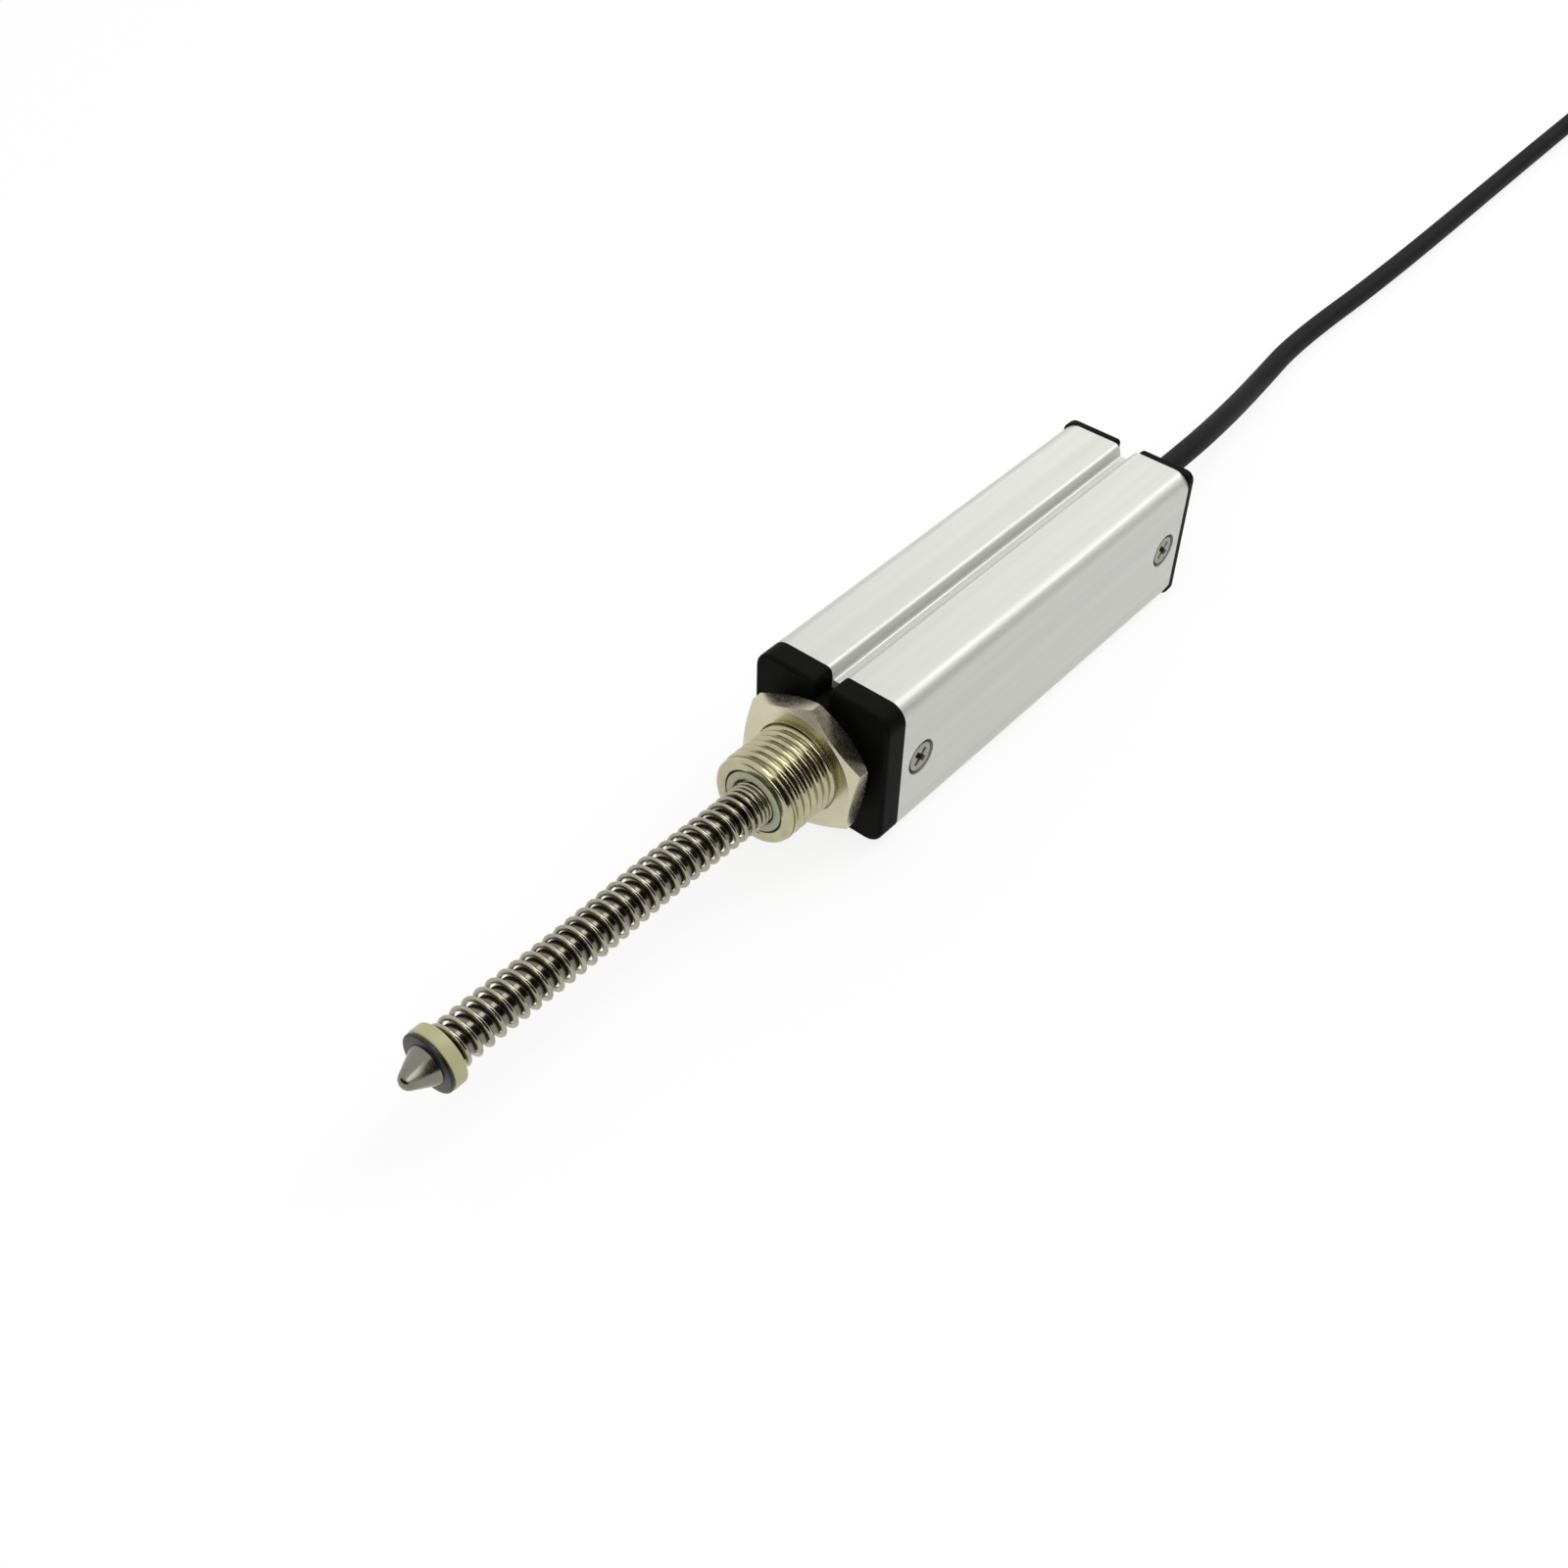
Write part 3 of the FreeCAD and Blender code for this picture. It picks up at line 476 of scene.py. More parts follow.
# colour: material name, roughness, metallic, grain and bump in millimetres, and what is special
FINISHES = {
    # clear anodised aluminium, brushed along its length: satin, pale, with fine lines
    # brush lines of about 0.05 mm, drawn at 0.16 mm so that they show
    # the oxide scatters half the light, so the surface is half metallic
    "aluminium": (
        "brushed_anodised_aluminium", 0.4, 0.5, 0.16, 0.004,
        {"stretch": (120, 1, 1), "uneven": 0.08, "play": 0.035},
    ),
    # moulded glass-filled polyamide: black with a faint grain and a soft sheen
    "cap": ("black_polyamide", 0.5, 0.0, 0.25, 0.01, {"play": 0.15, "Specular_IOR_Level": 0.035}),
    # bright nickel plate over turned brass: warm, mirror-like, with faint tool marks
    # tool marks of about 0.05 mm, drawn at 0.2 mm so that they show
    "nickel": ("nickel_plate", 0.17, 1.0, 0.2, 0.005, {"uneven": 0.06, "play": 0.1}),
    # nickel plate over milled brass, a little duller than on the turned nose; its colour is painted
    # paler and less yellow, a painted reflection of the bright floor before the nut's faces
    "nut": ("satin_nickel_painted_paler", 0.25, 1.0, 0.5, 0.002, {"uneven": 0.04, "play": 0.05}),
    # zinc-plated steel: grey with a dull shine
    "screw": ("zinc_plate", 0.34, 1.0, 0.2, 0.006, {"play": 0.1}),
    # filled sliding polymer: pale greenish cream, matt, with a fine grain
    "bush": ("filled_sliding_polymer", 0.45, 0.0, 0.2, 0.006, {}),
    # olive-cream polymer: smooth, slightly shiny
    "washer": ("olive_polymer", 0.38, 0.0, 0.25, 0.006, {}),
    # drawn spring steel: bright, with sharp glints
    "spring": ("drawn_spring_steel", 0.2, 1.0, 0.12, 0.002, {"play": 0.12}),
    # blackened steel: dark grey with a dull shine
    "disc": ("black_oxide_steel", 0.38, 1.0, 0.2, 0.004, {"play": 0.12}),
    # turned stainless steel: grey, with a soft shine
    "tip": ("turned_steel", 0.22, 1.0, 0.15, 0.002, {"play": 0.06}),
    # ground stainless steel: smooth, with sharp glints
    "rod": ("ground_steel", 0.2, 1.0, 0.1, 0.002, {"play": 0.08}),
    # soft black sheath: matt with a faint sheen
    "sheath": ("soft_vinyl", 0.6, 0.0, 0.4, 0.012, {"play": 0.15, "Specular_IOR_Level": 0.1}),
}


def finish(key):
    """Material of a finish, in its colour from the panel."""
    name, rough, metal, grit, depth, special = FINISHES[key]
    base = getattr(sizes("finishes"), key)
    return surface(name, base, rough, metal, grit * MM, depth * MM, **special)


# hidden and far pieces keep their solids: slot, material name, colour, roughness, metallic, nodes
KEPT = (
    (
        "black_rubber", "nitrile_rubber", "#1A1A1A", 0.7, 0.0,
        "rod_seal", "front_bumper", "rear_bumper",
    ),
    ("carriage_polymer", "acetal", "#E4E2DA", 0.4, 0.0, "carriage"),
    ("wiper_bronze", "contact_bronze", "#CDB27A", 0.28, 1.0, "wiper_contact"),
    ("spring_steel", "spring_strip", "#B9B7B0", 0.3, 1.0, "retaining_clip"),
    ("board_laminate", "glass_laminate", "#5E6E4C", 0.5, 0.0, "track_board"),
    ("carbon_ink", "conductive_plastic", "#1C1C1E", 0.35, 0.0, "resistive_track"),
    ("silver_ink", "silver_print", "#C9C9C4", 0.45, 1.0, "collector_track"),
    ("tinned_copper", "solder_tin", "#C4C4BE", 0.32, 1.0, "solder_terminals", "core_ends"),
    ("clamp_brass", "plain_brass", "#C4A86A", 0.3, 1.0, "cable_clamp"),
    ("brown_insulation", "brown_vinyl", "#5A3A22", 0.45, 0.0, "lead_brown", "core_brown"),
    ("black_insulation", "black_vinyl", "#1B1B1B", 0.45, 0.0, "lead_black", "core_black"),
    ("blue_insulation", "blue_vinyl", "#2A4A86", 0.45, 0.0, "lead_blue", "core_blue"),
)


# pieces


class SENSOR_OT_housing(Operator):
    """Models the slotted, hollow aluminium profile"""

    bl_idname = "sensor.housing"
    bl_label = "Housing"

    def execute(self, context):
        size = sizes("body")
        piece = block("Housing", (BODY_BACK, -HALF, BASE), (BODY_FACE, HALF, BODY_TOP))
        round_edges(piece, size.corner, 10, lengthwise)

        def channel(name, half, low, high):
            """Cutter along the whole profile."""
            return block(name, (BODY_BACK - PAST, -half, low), (BODY_FACE + PAST, half, high))

        inner = HALF - size.wall
        slot_low = BODY_TOP - size.slot_depth
        hollow = channel("hollow", inner, BASE + size.wall, slot_low - size.slot_floor)
        round_edges(hollow, size.hollow_corner, 4, lengthwise)
        carve(piece, hollow)
        low, high = ends("track_board", 2)
        room = 0.05 * MM
        carve(piece, channel("groove", inner + size.groove_depth, low - room, high + room))
        half_slot = size.slot_width / 2
        carve(piece, channel("slot", half_slot, slot_low, BODY_TOP + PAST))
        round_edges(piece, size.slot_edge, 8, twin_edges(half_slot, BODY_TOP))
        round_edges(piece, size.slot_round, 6, twin_edges(half_slot, slot_low))
        hole = size.shank_radius + 3 * FIT
        # each sink is cut outwards from inside the hollow
        reach = size.wall * 2
        # a straight step round the head leaves a dark gap
        step = reach - size.sink_step
        sink = solid(
            (0, hole),
            (step - (size.sink_radius - hole), hole),
            (step, size.sink_radius),
            (reach + PAST, size.sink_radius),
        )
        for station in (SCREW_FRONT, SCREW_REAR):
            for hand in (1, -1):
                start = Vector((station, hand * (HALF - reach), AXIS))
                carve(piece, turned("sink", sink, 48, ACROSS * hand, start))
        hand_over(piece, "sensor", "anodised_aluminium", finish("aluminium"), "housing_profile")
        return {"FINISHED"}


def plug(back, face):
    """Part of a cap that sits in the profile's hollow."""
    size = sizes("body")
    gap = 0.1 * MM
    half = HALF - size.wall - gap
    roof = BODY_TOP - size.slot_depth - size.slot_floor - gap
    piece = block("plug", (back, -half, BASE + size.wall + gap), (face, half, roof))
    round_edges(piece, size.hollow_corner, 4, lengthwise)
    return piece


def cap_plate(name, back, face, outer, corner, notch_width, notch_edge):
    """Plate of a cap with a notch in line with the slot and a rounded outer rim."""
    size = sizes("body")
    piece = block(name, (back, -HALF, BASE), (face, HALF, BODY_TOP))
    round_edges(piece, corner, 8, lengthwise)
    half = notch_width / 2
    notch_low = BODY_TOP - size.notch_depth
    notch = block("notch", (back - PAST, -half, notch_low), (face + PAST, half, BODY_TOP + PAST))
    carve(piece, notch)
    round_edges(piece, notch_edge, 5, twin_edges(half, BODY_TOP))
    round_edges(piece, size.cap_edge, 4, lambda a, b: near(a.x, outer) and near(b.x, outer))
    return piece


def screw_holes(piece, station):
    """Blind holes for the tips of the two side screws."""
    size = sizes("body")
    spare = 0.1 * MM
    profile = rod_profile(size.shank_radius + FIT, HALF - size.screw_length - spare, HALF)
    for hand in (1, -1):
        hole = turned("hole", profile, 32, ACROSS * hand, Vector((station, 0, AXIS)))
        carve(piece, hole)


class SENSOR_OT_front_cap(Operator):
    """Models the front cap with its notch, boss and plug"""

    bl_idname = "sensor.front_cap"
    bl_label = "Front cap"

    def execute(self, context):
        size = sizes("body")
        nose = sizes("nose")
        cap_face = BODY_FACE + size.cap_thickness
        piece = cap_plate(
            "Front_cap", BODY_FACE, cap_face, cap_face,
            size.corner, size.notch_width, size.notch_edge,
        )
        middle = (BODY_FACE + cap_face) / 2
        boss = turned("boss", rod_profile(size.boss_radius, middle, BOSS_FACE), 96)
        carve(piece, boss, "UNION")
        carve(piece, plug(PLUG_BACK, middle), "UNION")
        passage = sizes("plunger").rod_radius + SLIDE
        collar = nose.collar_radius + FIT
        # the cap holds the thread at the middle of its flanks
        shank = nose.thread_radius - 0.325 * nose.pitch + FIT
        bore = solid(
            (PLUG_BACK - PAST, passage), (NOSE_BACK, passage), (NOSE_BACK, collar),
            (SHOULDER, collar), (SHOULDER, shank), (BOSS_FACE + PAST, shank),
        )
        carve(piece, turned("bore", bore, 64))
        screw_holes(piece, SCREW_FRONT)
        hand_over(piece, "sensor", "black_plastic", finish("cap"), "front_cap")
        return {"FINISHED"}


class SENSOR_OT_rear_cap(Operator):
    """Models the rear cap with its wide notch, plug and cable room"""

    bl_idname = "sensor.rear_cap"
    bl_label = "Rear cap"

    def execute(self, context):
        size = sizes("body")
        piece = cap_plate(
            "Rear_cap", REAR_FACE, BODY_BACK, REAR_FACE,
            size.rear_corner, size.rear_notch_width, size.rear_notch_edge,
        )
        middle = (REAR_FACE + BODY_BACK) / 2
        carve(piece, plug(middle, REAR_PLUG), "UNION")
        neck = sizes("cable").neck_radius + FIT
        lip = sizes("cable").lip_radius + 3 * FIT
        bore = solid(
            (REAR_FACE - PAST, neck), (POCKET, neck), (POCKET, lip), (REAR_PLUG + PAST, lip)
        )
        carve(piece, turned("bore", bore, 64))
        screw_holes(piece, SCREW_REAR)
        hand_over(piece, "sensor", "black_plastic", finish("cap"), "rear_cap")
        return {"FINISHED"}


class SENSOR_OT_screws(Operator):
    """Models one countersunk cross-head screw and sets four copies of it"""

    bl_idname = "sensor.screws"
    bl_label = "Side screws"

    def execute(self, context):
        size = sizes("body")
        # the heads sit almost level with the profile, inside a narrow gap
        top = ends("front_cap_screws", 1)[1] + size.head_lift
        tip = HALF - size.screw_length
        shank = size.shank_radius
        head = size.head_radius
        lead = shank * 0.3
        side = 0.4 * MM
        edge = 0.12 * MM
        bend = edge * 0.3
        profile = solid(
            (tip, shank * 0.8),
            (tip + lead, shank),
            (top - side - (head - shank), shank),
            (top - side, head),
            (top - bend, head - bend),
            (top, head - edge),
        )
        screw = turned("screw", profile, 64, ACROSS, ON_AXIS)
        # the two arms of the cross recess
        wide = 0.3 * MM
        reach = 1.1 * MM
        deep = 1.2 * MM
        for turn in (45, 135):
            arm = block("arm", (-reach, top - deep, -wide), (reach, top + PAST, wide))
            bpy.ops.transform.rotate(
                value=math.radians(turn), orient_axis="Y", center_override=(0, 0, 0)
            )
            bpy.ops.transform.translate(value=ON_AXIS)
            named("arm")
            carve(screw, arm)
        soften(screw, 0.04 * MM, 2, 50)
        for station, node in ((SCREW_FRONT, "front_cap_screws"), (SCREW_REAR, "rear_cap_screws")):
            pair = []
            for hand in (1, -1):
                take(screw)
                bpy.ops.object.duplicate(linked=False)
                copy = bpy.context.object
                half_turn = 0 if hand > 0 else math.pi
                copy.matrix_world = (
                    Matrix.Translation((station, 0, 0)) @ Matrix.Rotation(half_turn, 4, "Z")
                )
                pair.append(named(node))
            piece = join(f"{node}_pair", *pair)
            hand_over(piece, "sensor", "screw_steel", finish("screw"), node)
        take(screw)
        bpy.ops.object.delete()
        return {"FINISHED"}


class SENSOR_OT_nose(Operator):
    """Models the nickel-plated nose with its cut thread"""

    bl_idname = "sensor.nose"
    bl_label = "Threaded nose"

    def execute(self, context):
        size = sizes("nose")
        pitch = size.pitch
        # one pitch of the thread: narrow root and a broad crest that the plating has rounded
        depth = 0.42 * pitch
        root = size.thread_radius - depth
        shares = (
            (0, 0), (0.08, 0), (0.22, 0.6), (0.33, 0.88), (0.44, 0.98), (0.54, 1),
            (0.64, 0.98), (0.75, 0.88), (0.86, 0.6), (1, 0),
        )
        back = BOSS_FACE - 3 * pitch
        spots = [Vector((back + a * pitch, 0, AXIS + root + b * depth)) for a, b in shares]
        piece = draw("Threaded_nose", spots)
        context.scene.cursor.location = ON_AXIS
        bpy.ops.object.origin_set(type="ORIGIN_CURSOR")
        step = piece.modifiers.new("thread", "SCREW")
        step.axis = "X"
        step.screw_offset = pitch
        step.iterations = math.ceil((NOSE_END - back) / pitch) + 2
        step.steps = 64
        step.render_steps = 64
        step.use_merge_vertices = True
        step.merge_threshold = 0.002 * MM
        apply(piece, step)
        piece = named("Threaded_nose")
        close(piece)
        front = NOSE_END - size.rim
        for station, hand in ((SHOULDER, -1), (front, 1)):
            with editing(piece):
                bpy.ops.mesh.bisect(
                    plane_co=(station, 0, AXIS), plane_no=(hand, 0, 0),
                    use_fill=True, clear_outer=True, threshold=0.0001 * MM,
                )
        close(piece)
        run_out = 0.3 * MM
        # the rim is plain and ends in two small chamfers
        plain = size.thread_radius - 0.15 * MM
        rim = solid(
            (front - run_out, root),
            (front, plain),
            (NOSE_END - 0.3 * MM, plain),
            (NOSE_END - 0.08 * MM, plain - 0.17 * MM),
            (NOSE_END, plain - 0.35 * MM),
        )
        carve(piece, turned("rim", rim, 96), "UNION")
        overlap = 0.2 * MM
        collar = rod_profile(size.collar_radius, NOSE_BACK, SHOULDER + overlap)
        # with this many sides, no corner of the collar meets an edge of the thread
        carve(piece, turned("collar", collar, 100), "UNION")
        room = size.bush_radius + FIT
        gland = 2.75 * MM
        bore = solid(
            (NOSE_BACK - PAST, gland), (BUSH_BACK, gland), (BUSH_BACK, room),
            (NOSE_END - size.mouth, room), (NOSE_END + PAST, room + size.mouth + PAST),
        )
        carve(piece, turned("bore", bore, 96))
        close(piece)
        hand_over(piece, "sensor", "nickel_brass", finish("nickel"), "nose_bushing", angle=50)
        return {"FINISHED"}


class SENSOR_OT_nut(Operator):
    """Models the thin lock nut with its turned corners"""

    bl_idname = "sensor.nut"
    bl_label = "Lock nut"

    def execute(self, context):
        size = sizes("nose")
        corner = size.nut_flats / 2 / math.cos(math.pi / 6)
        thickness = NUT_FACE - NUT_BACK
        bpy.ops.mesh.primitive_cylinder_add(vertices=6, radius=corner, depth=thickness)
        # one corner 21 degrees off the vertical, as photographed
        place = Matrix.Translation(((NUT_BACK + NUT_FACE) / 2, 0, AXIS))
        turn = Matrix.Rotation(math.radians(21), 4, "X") @ Matrix.Rotation(math.pi / 2, 4, "Y")
        bpy.context.object.matrix_world = place @ turn
        piece = named("Lock_nut")
        # the corners are turned down on both faces, a little more on the front one
        flat = size.nut_flats / 2
        rise = (corner - flat) * 0.55
        back_edge = flat * 0.985
        face_edge = flat * 0.96
        start = NUT_BACK - 0.01 * MM
        crown = solid(
            (start, back_edge), (NUT_BACK + rise, corner),
            (NUT_FACE - rise, corner), (NUT_FACE, face_edge),
        )
        carve(piece, turned("crown", crown, 128), "INTERSECT")
        bore = size.thread_radius - 0.613 * size.pitch
        mouth = size.thread_radius + 0.15 * MM
        chamfer = (mouth - bore) * 0.6
        hole = solid(
            (NUT_BACK - PAST, mouth), (NUT_BACK, mouth), (NUT_BACK + chamfer, bore),
            (NUT_FACE - chamfer, bore), (NUT_FACE, mouth), (NUT_FACE + PAST, mouth),
        )
        carve(piece, turned("hole", hole, 96))
        soften(piece, 0.06 * MM, 2, 20)
        hand_over(piece, "sensor", "nickel_brass", finish("nut"), "lock_nut", angle=18)
        return {"FINISHED"}


class SENSOR_OT_bush(Operator):
    """Models the guide bush with the spring's seat in its face"""

    bl_idname = "sensor.bush"
    bl_label = "Guide bush"

    def execute(self, context):
        size = sizes("nose")
        bore = sizes("plunger").rod_radius + SLIDE
        seat = BUSH_FACE - size.seat_depth
        profile = [
            (BUSH_BACK, bore),
            (BUSH_BACK, size.bush_radius),
            (BUSH_FACE, size.bush_radius),
            (BUSH_FACE, size.seat_radius),
            (seat, size.seat_radius),
            (seat, bore),
            (BUSH_BACK, bore),
        ]
        piece = turned("Guide_bush", profile)
        soften(piece, 0.12 * MM)
        hand_over(piece, "sensor", "bush_polymer", finish("bush"), "guide_bush")
        return {"FINISHED"}


class SENSOR_OT_rod(Operator):
    """Models the sliding rod with its carriage journal and clip groove"""

    bl_idname = "sensor.rod"
    bl_label = "Plunger rod"

    def execute(self, context):
        size = sizes("plunger")
        clip_back, clip_front = ends("retaining_clip")
        journal = 1.2 * MM
        groove = 0.95 * MM
        profile = solid(
            (ROD_BACK, journal), (clip_back, journal), (clip_back, groove),
            (clip_front, groove), (clip_front, journal), (REST, journal),
            (REST, size.rod_radius), (WASHER_FACE, size.rod_radius),
            (WASHER_FACE, size.stud_radius), (ROD_END, size.stud_radius),
        )
        piece = turned("Plunger_rod", profile, 64)
        soften(piece, 0.06 * MM, 2)
        hand_over(piece, "plunger", "rod_steel", finish("rod"), "plunger_rod")
        return {"FINISHED"}


class SENSOR_OT_tip(Operator):
    """Models the washer, the dark disc and the cone tip"""

    bl_idname = "sensor.tip"
    bl_label = "Washer and tip"

    def execute(self, context):
        size = sizes("plunger")
        bore = size.rod_radius + FIT
        washer = turned("Spring_washer", ring(bore, size.washer_radius, WASHER_BACK, WASHER_FACE))
        soften(washer, 0.2 * MM, 4)
        hand_over(washer, "plunger", "washer_polymer", finish("washer"), "spring_washer")
        stud = size.stud_radius + FIT
        disc = turned("Tip_disc", ring(stud, size.disc_radius, WASHER_FACE, DISC_FACE))
        soften(disc, 0.2 * MM, 4)
        hand_over(disc, "plunger", "black_steel", finish("disc"), "tip_disc")
        dome = size.cone_end
        centre = TIP_END - dome
        lean = math.atan2(size.cone_radius - dome, centre - DISC_FACE)
        hole_end = ROD_END + 0.05 * MM
        profile = [
            (hole_end, 0),
            (hole_end, stud),
            (DISC_FACE, stud),
            (DISC_FACE, size.cone_radius),
        ]
        bends = 8
        for i in range(bends + 1):
            angle = (math.pi / 2 - lean) * (1 - i / bends)
            profile.append((centre + dome * math.cos(angle), dome * math.sin(angle)))
        tip = turned("Contact_tip", profile)
        soften(tip, 0.08 * MM, 3)
        hand_over(tip, "plunger", "rod_steel", finish("tip"), "contact_tip")
        return {"FINISHED"}


class SENSOR_OT_spring(Operator):
    """Winds the return spring: closed end turns, free turns and a slight wave"""

    bl_idname = "sensor.spring"
    bl_label = "Return spring"

    def execute(self, context):
        size = sizes("plunger")
        seat = BUSH_FACE - sizes("nose").seat_depth
        start = seat + size.wire / 2
        end = WASHER_BACK - size.wire / 2
        closed_turns = 3.0
        ramp_turns = 4.0
        points_per_turn = 24
        # length over which the turns close up again before the washer
        closing = size.open_pitch * 0.8
        # stations of the wire, turn by turn, until it reaches the washer
        stations = [start]
        turn = 0.0
        while stations[-1] < end:
            share = min(max((turn - closed_turns) / ramp_turns, 0.0), 1.0)
            left = (end - stations[-1]) / closing
            share = min(share, max(left, 0.0))
            pitch = size.closed_pitch + (size.open_pitch - size.closed_pitch) * share
            stations.append(stations[-1] + pitch / points_per_turn)
            turn += 1 / points_per_turn
        # the slack spring leans to and fro in long waves
        wave = 24.0 * MM
        crest = BODY_FACE + 26.0 * MM
        aside = (UP * 0.54 - ACROSS * 0.84) * size.bow
        points = []
        for i, x in enumerate(stations):
            angle = 2 * math.pi * i / points_per_turn
            lean = math.cos(2 * math.pi * (x - crest) / wave)
            out = ACROSS * math.cos(angle) + UP * math.sin(angle)
            points.append(ON_AXIS + aside * lean + ALONG_ROD * x + out * size.coil_radius)
        take(tube("Return_spring", points, size.wire / 2, 4, "POLY"))
        bpy.ops.object.convert(target="MESH")
        piece = bpy.context.object
        close(piece)
        hand_over(piece, "sensor", "spring_steel", finish("spring"), "return_spring", angle=60)
        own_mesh(piece)
        return {"FINISHED"}


class SENSOR_OT_grommet(Operator):
    """Models the cable grommet behind the rear cap"""

    bl_idname = "sensor.grommet"
    bl_label = "Cable grommet"

    def execute(self, context):
        size = sizes("cable")
        bore = size.radius + FIT
        collar = 3.0 * MM
        collar_end = REAR_FACE - 1.0 * MM
        # the boot flares along an arc that starts along the cable
        low = size.radius + size.boot_wall
        rise = size.boot_radius - low
        flare = (size.boot_taper ** 2 + rise ** 2) / (2 * rise)
        sweep = math.asin(size.boot_taper / flare)
        bends = 8
        profile = [(GROMMET_END, bore)]
        for i in range(bends + 1):
            turn = sweep * i / bends
            station = GROMMET_END + flare * math.sin(turn)
            profile.append((station, low + flare * (1 - math.cos(turn))))
        profile += [
            (collar_end, size.boot_radius), (collar_end, collar), (REAR_FACE, collar),
            (REAR_FACE, size.neck_radius), (POCKET, size.neck_radius), (POCKET, size.lip_radius),
            (GROMMET_FRONT, size.lip_radius), (GROMMET_FRONT, bore), (GROMMET_END, bore),
        ]
        piece = turned("Cable_grommet", profile, 64)
        soften(piece, 0.15 * MM)
        hand_over(piece, "sensor", "black_rubber", finish("sheath"), "cable_grommet")
        return {"FINISHED"}


def hank_turns(size):
    """Points of the hank's turns: outer turns upwards, inner ones downwards, then the free end."""
    thick = 2 * size.radius
    x, y, floor = ROUTE[-1]
    centre = Vector((x - 2 * thick, y + size.hank_bend + thick, 0))
    outer = [(size.hank_bend + thick, floor + thick * i) for i in range(size.layers)]
    lanes = outer + [(size.hank_bend, z) for _, z in reversed(outer)]
    bend_points = 6
    step = math.pi / bend_points
    reach = 1 / math.cos(step / 2)
    far = Vector((-size.hank_run, 0, 0))
    points = []
    for i, (radius, height) in enumerate(lanes):
        for share in (1 / 3, 2 / 3):
            points.append(centre + far * share + Vector((0, -radius, height)))
        for j in range(bend_points):
            angle = -math.pi / 2 - step * (j + 0.5)
            round_far = Vector((math.cos(angle), math.sin(angle), 0)) * radius * reach
            points.append(centre + far + round_far + Vector((0, 0, height)))
        if i == len(lanes) - 1:
            break
        next_radius, next_height = lanes[i + 1]
        # inner turns change lane on the near run, the others in the near bend
        inward = next_radius < radius
        early = next_radius == radius == size.hank_bend
        for share in (2 / 3, 1 / 3):
            z = next_height if early and share < 0.5 else height
            points.append(centre + far * share + Vector((0, radius, z)))
        for j in range(bend_points):
            moved = (j if inward else j - 2) / 3
            moved = 1.0 if early else min(max(moved, 0.0), 1.0)
            r = (radius + (next_radius - radius) * moved) * reach
            z = height + (next_height - height) * moved
            angle = math.pi / 2 - step * (j + 0.5)
            points.append(centre + Vector((r * math.cos(angle), r * math.sin(angle), z)))
    tail = Vector((20.0 * MM, -6.0 * MM, 0))
    begin = centre + far + Vector((0, size.hank_bend, floor))
    points += [begin + tail * 0.5, begin + tail]
    return points


class SENSOR_OT_cable(Operator):
    """Lays the cable along its route and into a tied hank"""

    bl_idname = "sensor.cable"
    bl_label = "Cable"

    def execute(self, context):
        size = sizes("cable")
        points = [Vector(p) for p in ROUTE] + hank_turns(size)
        piece = tube("Cable", points, size.radius, 5, "NURBS", 10)
        spline = piece.data.splines[0]
        spline.order_u = 3
        spline.use_endpoint_u = True
        hand_over(
            piece, "sensor", "cable_sheath", finish("sheath"), "cable", "cable_hank", "cable_tail"
        )
        # one tie round each side of the hank, two cables wide
        low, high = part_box("hank_ties")
        strap = size.tie_thickness
        bundle = 4 * size.radius
        outer_corner = 1.2 * MM
        inner_corner = 0.7 * MM
        ties = []
        for hand, edge in ((1, high.y), (-1, low.y)):
            left, right = sorted((edge, edge - hand * (bundle + 2 * strap)))
            tie = block("tie", (low.x, left, low.z), (high.x, right, high.z))
            round_edges(tie, outer_corner, 4, lengthwise)
            room = block(
                "room",
                (low.x - strap, left + strap, low.z + strap),
                (high.x + strap, right - strap, high.z - strap),
            )
            round_edges(room, inner_corner, 4, lengthwise)
            carve(tie, room)
            ties.append(tie)
        tie = join("Hank_ties", *ties)
        tie_nylon = surface("tie_nylon", paint("#1B1B1B"), 0.42, 0.0, 0.4 * MM, 0.01 * MM)
        hand_over(tie, "sensor", "tie_plastic", tie_nylon, "hank_ties")
        return {"FINISHED"}


class SENSOR_OT_kept(Operator):
    """Gives the solids that are kept their materials"""

    bl_idname = "sensor.kept"
    bl_label = "Inner pieces"

    def execute(self, context):
        for slot, name, code, rough, metal, *nodes in KEPT:
            material = surface(name, paint(code), rough, metal)
            for node in nodes:
                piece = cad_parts[node]
                piece.data.materials.clear()
                piece.data.materials.append(material)
        return {"FINISHED"}


# studio


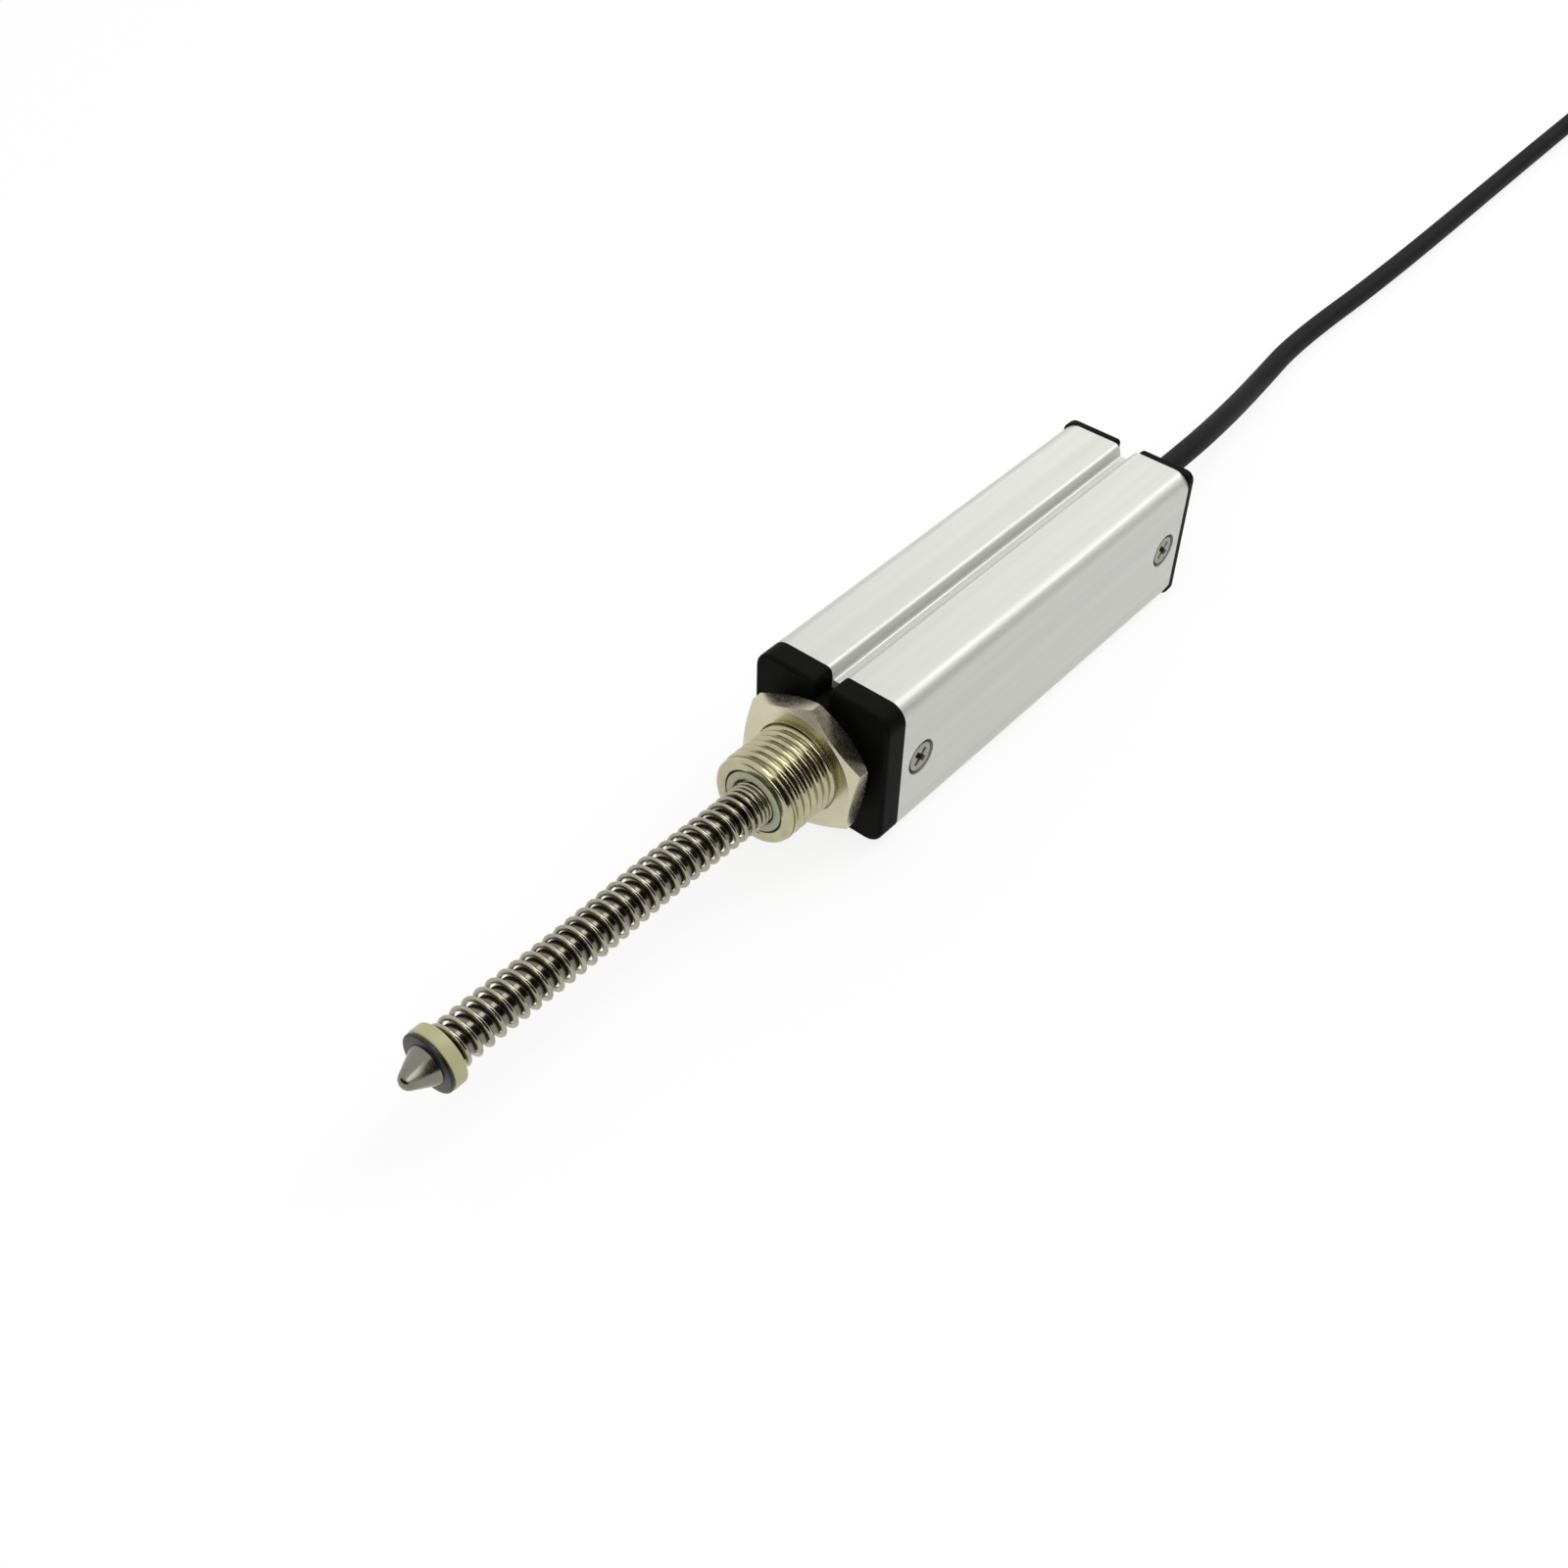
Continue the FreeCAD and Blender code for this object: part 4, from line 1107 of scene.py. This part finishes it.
class SENSOR_OT_studio(Operator):
    """Sets the floor, the lamps, the white surround and the camera"""

    bl_idname = "sensor.studio"
    bl_label = "Studio"

    def execute(self, context):
        scene = context.scene
        scene.view_settings.view_transform = "Standard"
        # a hair below the base, so that no two faces share a plane
        floor_height = BASE - 0.02 * MM
        bpy.ops.mesh.primitive_plane_add(size=6.0, location=(0, 0, floor_height))
        floor = named("Floor")
        floor.data.materials.append(white_floor())
        scene.world = soft_room()
        # black cards that only mirrors see: before the tip, behind the cable, along the near side
        # name, low corner, high corner, degrees turned about the rod's direction
        cards = (
            ("Front_card", (0.45, -0.4, 0.0), (0.452, 0.4, 0.26), 0),
            ("Back_card", (-0.5, -0.4, 0.0), (-0.498, 0.4, 0.18), 0),
            ("Near_card", (-0.25, 0.336, -0.235), (0.28, 0.338, 0.235), 35),
        )
        for name, low, high, lift in cards:
            card = block(name, low, high)
            card.matrix_world = Matrix.Rotation(math.radians(lift), 4, "X")
            card = named(name)
            card.data.materials.append(surface("black_paper", paint("#0A0A0A"), 0.9))
            card.visible_camera = False
            card.visible_diffuse = False
            card.visible_shadow = False
        # name, place, width, depth and watts of lamps that point at the origin
        lamps = (
            ("Key_lamp", (-0.3, 0.07, 0.5), 0.26, 0.7, 1.25),
            ("Rear_lamp", (-0.55, -0.34, 0.3), 0.3, 0.3, 0.35),
            ("Front_lamp", (0.5, 0.3, 0.5), 0.4, 0.4, 0.9),
        )
        for name, place, width, depth, power in lamps:
            lamp = bpy.data.lights.new(name, "AREA")
            lamp.shape = "RECTANGLE"
            lamp.size = width
            lamp.size_y = depth
            lamp.energy = power
            source = bpy.data.objects.new(name, lamp)
            source.location = place
            source.rotation_euler = (-Vector(place)).to_track_quat("-Z", "Y").to_euler()
            context.collection.objects.link(source)
        # lens, directions and place solved from the photo's edges
        view = bpy.data.cameras.new("Camera")
        view.sensor_width = 36.0
        view.lens = 43.42
        view.clip_start = 0.01
        camera = bpy.data.objects.new("Camera", view)
        right = Vector((-0.64378, 0.76487, 0.02280))
        down = Vector((0.52150, 0.46036, -0.71841))
        ahead = Vector((-0.55999, -0.45061, -0.69525))
        stand = Vector((0.14022, 0.08519, 0.13892))
        turn = Matrix((right, -down, -ahead)).transposed().to_4x4()
        camera.matrix_world = Matrix.Translation(stand) @ turn
        context.collection.objects.link(camera)
        scene.camera = camera
        return {"FINISHED"}


def seen_or_mirrored(tree):
    """1 for rays from the camera, and for mirrored and refracted ones."""
    path = add(tree, "ShaderNodeLightPath").outputs
    pair = add(
        tree, "ShaderNodeMath",
        {0: path["Is Camera Ray"], 1: path["Is Glossy Ray"]}, operation="MAXIMUM",
    )
    return add(
        tree, "ShaderNodeMath",
        {0: pair.outputs[0], 1: path["Is Transmission Ray"]}, operation="MAXIMUM",
    ).outputs[0]


def white_floor():
    """White paper sweep: reads as white, and still takes the object's shadow."""
    material = bpy.data.materials.new("white_paper")
    material.use_nodes = True
    tree = material.node_tree
    tree.nodes.clear()
    paper = add(tree, "ShaderNodeBsdfDiffuse", {"Color": paint("#E8E8E6")}).outputs[0]
    faint = add(tree, "ShaderNodeBsdfDiffuse", {"Color": paint("#7A7A7A")}).outputs[0]
    glow = add(tree, "ShaderNodeEmission", {"Color": (1, 1, 1, 1), "Strength": 0.82}).outputs[0]
    shown = add(tree, "ShaderNodeAddShader", {0: faint, 1: glow}).outputs[0]
    mix = add(tree, "ShaderNodeMixShader", {0: seen_or_mirrored(tree), 1: paper, 2: shown})
    add(tree, "ShaderNodeOutputMaterial", {"Surface": mix.outputs[0]})
    return material


def soft_room():
    """Even studio surround, white to the camera and in mirrors."""
    world = bpy.data.worlds.new("studio")
    world.use_nodes = True
    tree = world.node_tree
    tree.nodes.clear()
    level = 0.6
    strength = add(
        tree, "ShaderNodeMath",
        {0: seen_or_mirrored(tree), 1: 1 - level, 2: level}, operation="MULTIPLY_ADD",
    ).outputs[0]
    back = add(tree, "ShaderNodeBackground", {"Color": (1, 1, 1, 1), "Strength": strength})
    add(tree, "ShaderNodeOutputWorld", {"Surface": back.outputs[0]})
    return world


class SENSOR_PT_panel(Panel):
    """Lists the pieces of the sensor"""

    bl_idname = "SENSOR_PT_panel"
    bl_label = "Linear potentiometer"
    bl_space_type = "VIEW_3D"
    bl_region_type = "UI"
    bl_category = "Sensor"

    def draw(self, context):
        for operator in OPERATORS:
            self.layout.operator(operator.bl_idname)
        for name in GROUPS:
            group = sizes(name)
            column = self.layout.column(heading=name.capitalize())
            for key in group.__annotations__:
                column.prop(group, key)


GROUPS = {
    "body": BodySizes,
    "nose": NoseSizes,
    "plunger": PlungerSizes,
    "cable": CableSizes,
    "finishes": Finishes,
}
OPERATORS = (
    SENSOR_OT_studio,
    SENSOR_OT_cable,
    SENSOR_OT_housing,
    SENSOR_OT_front_cap,
    SENSOR_OT_rear_cap,
    SENSOR_OT_screws,
    SENSOR_OT_nose,
    SENSOR_OT_nut,
    SENSOR_OT_bush,
    SENSOR_OT_rod,
    SENSOR_OT_tip,
    SENSOR_OT_spring,
    SENSOR_OT_grommet,
    SENSOR_OT_kept,
)


def register():
    for kind in (*GROUPS.values(), *OPERATORS, SENSOR_PT_panel):
        bpy.utils.register_class(kind)
    for name, kind in GROUPS.items():
        setattr(bpy.types.Scene, f"sensor_{name}", PointerProperty(type=kind))


def unregister():
    for name in GROUPS:
        delattr(bpy.types.Scene, f"sensor_{name}")
    for kind in (SENSOR_PT_panel, *reversed(OPERATORS), *GROUPS.values()):
        bpy.utils.unregister_class(kind)


def main():
    register()
    for operator in OPERATORS:
        group, name = operator.bl_idname.split(".")
        getattr(getattr(bpy.ops, group), name)()


if __name__ == "__main__":
    main()
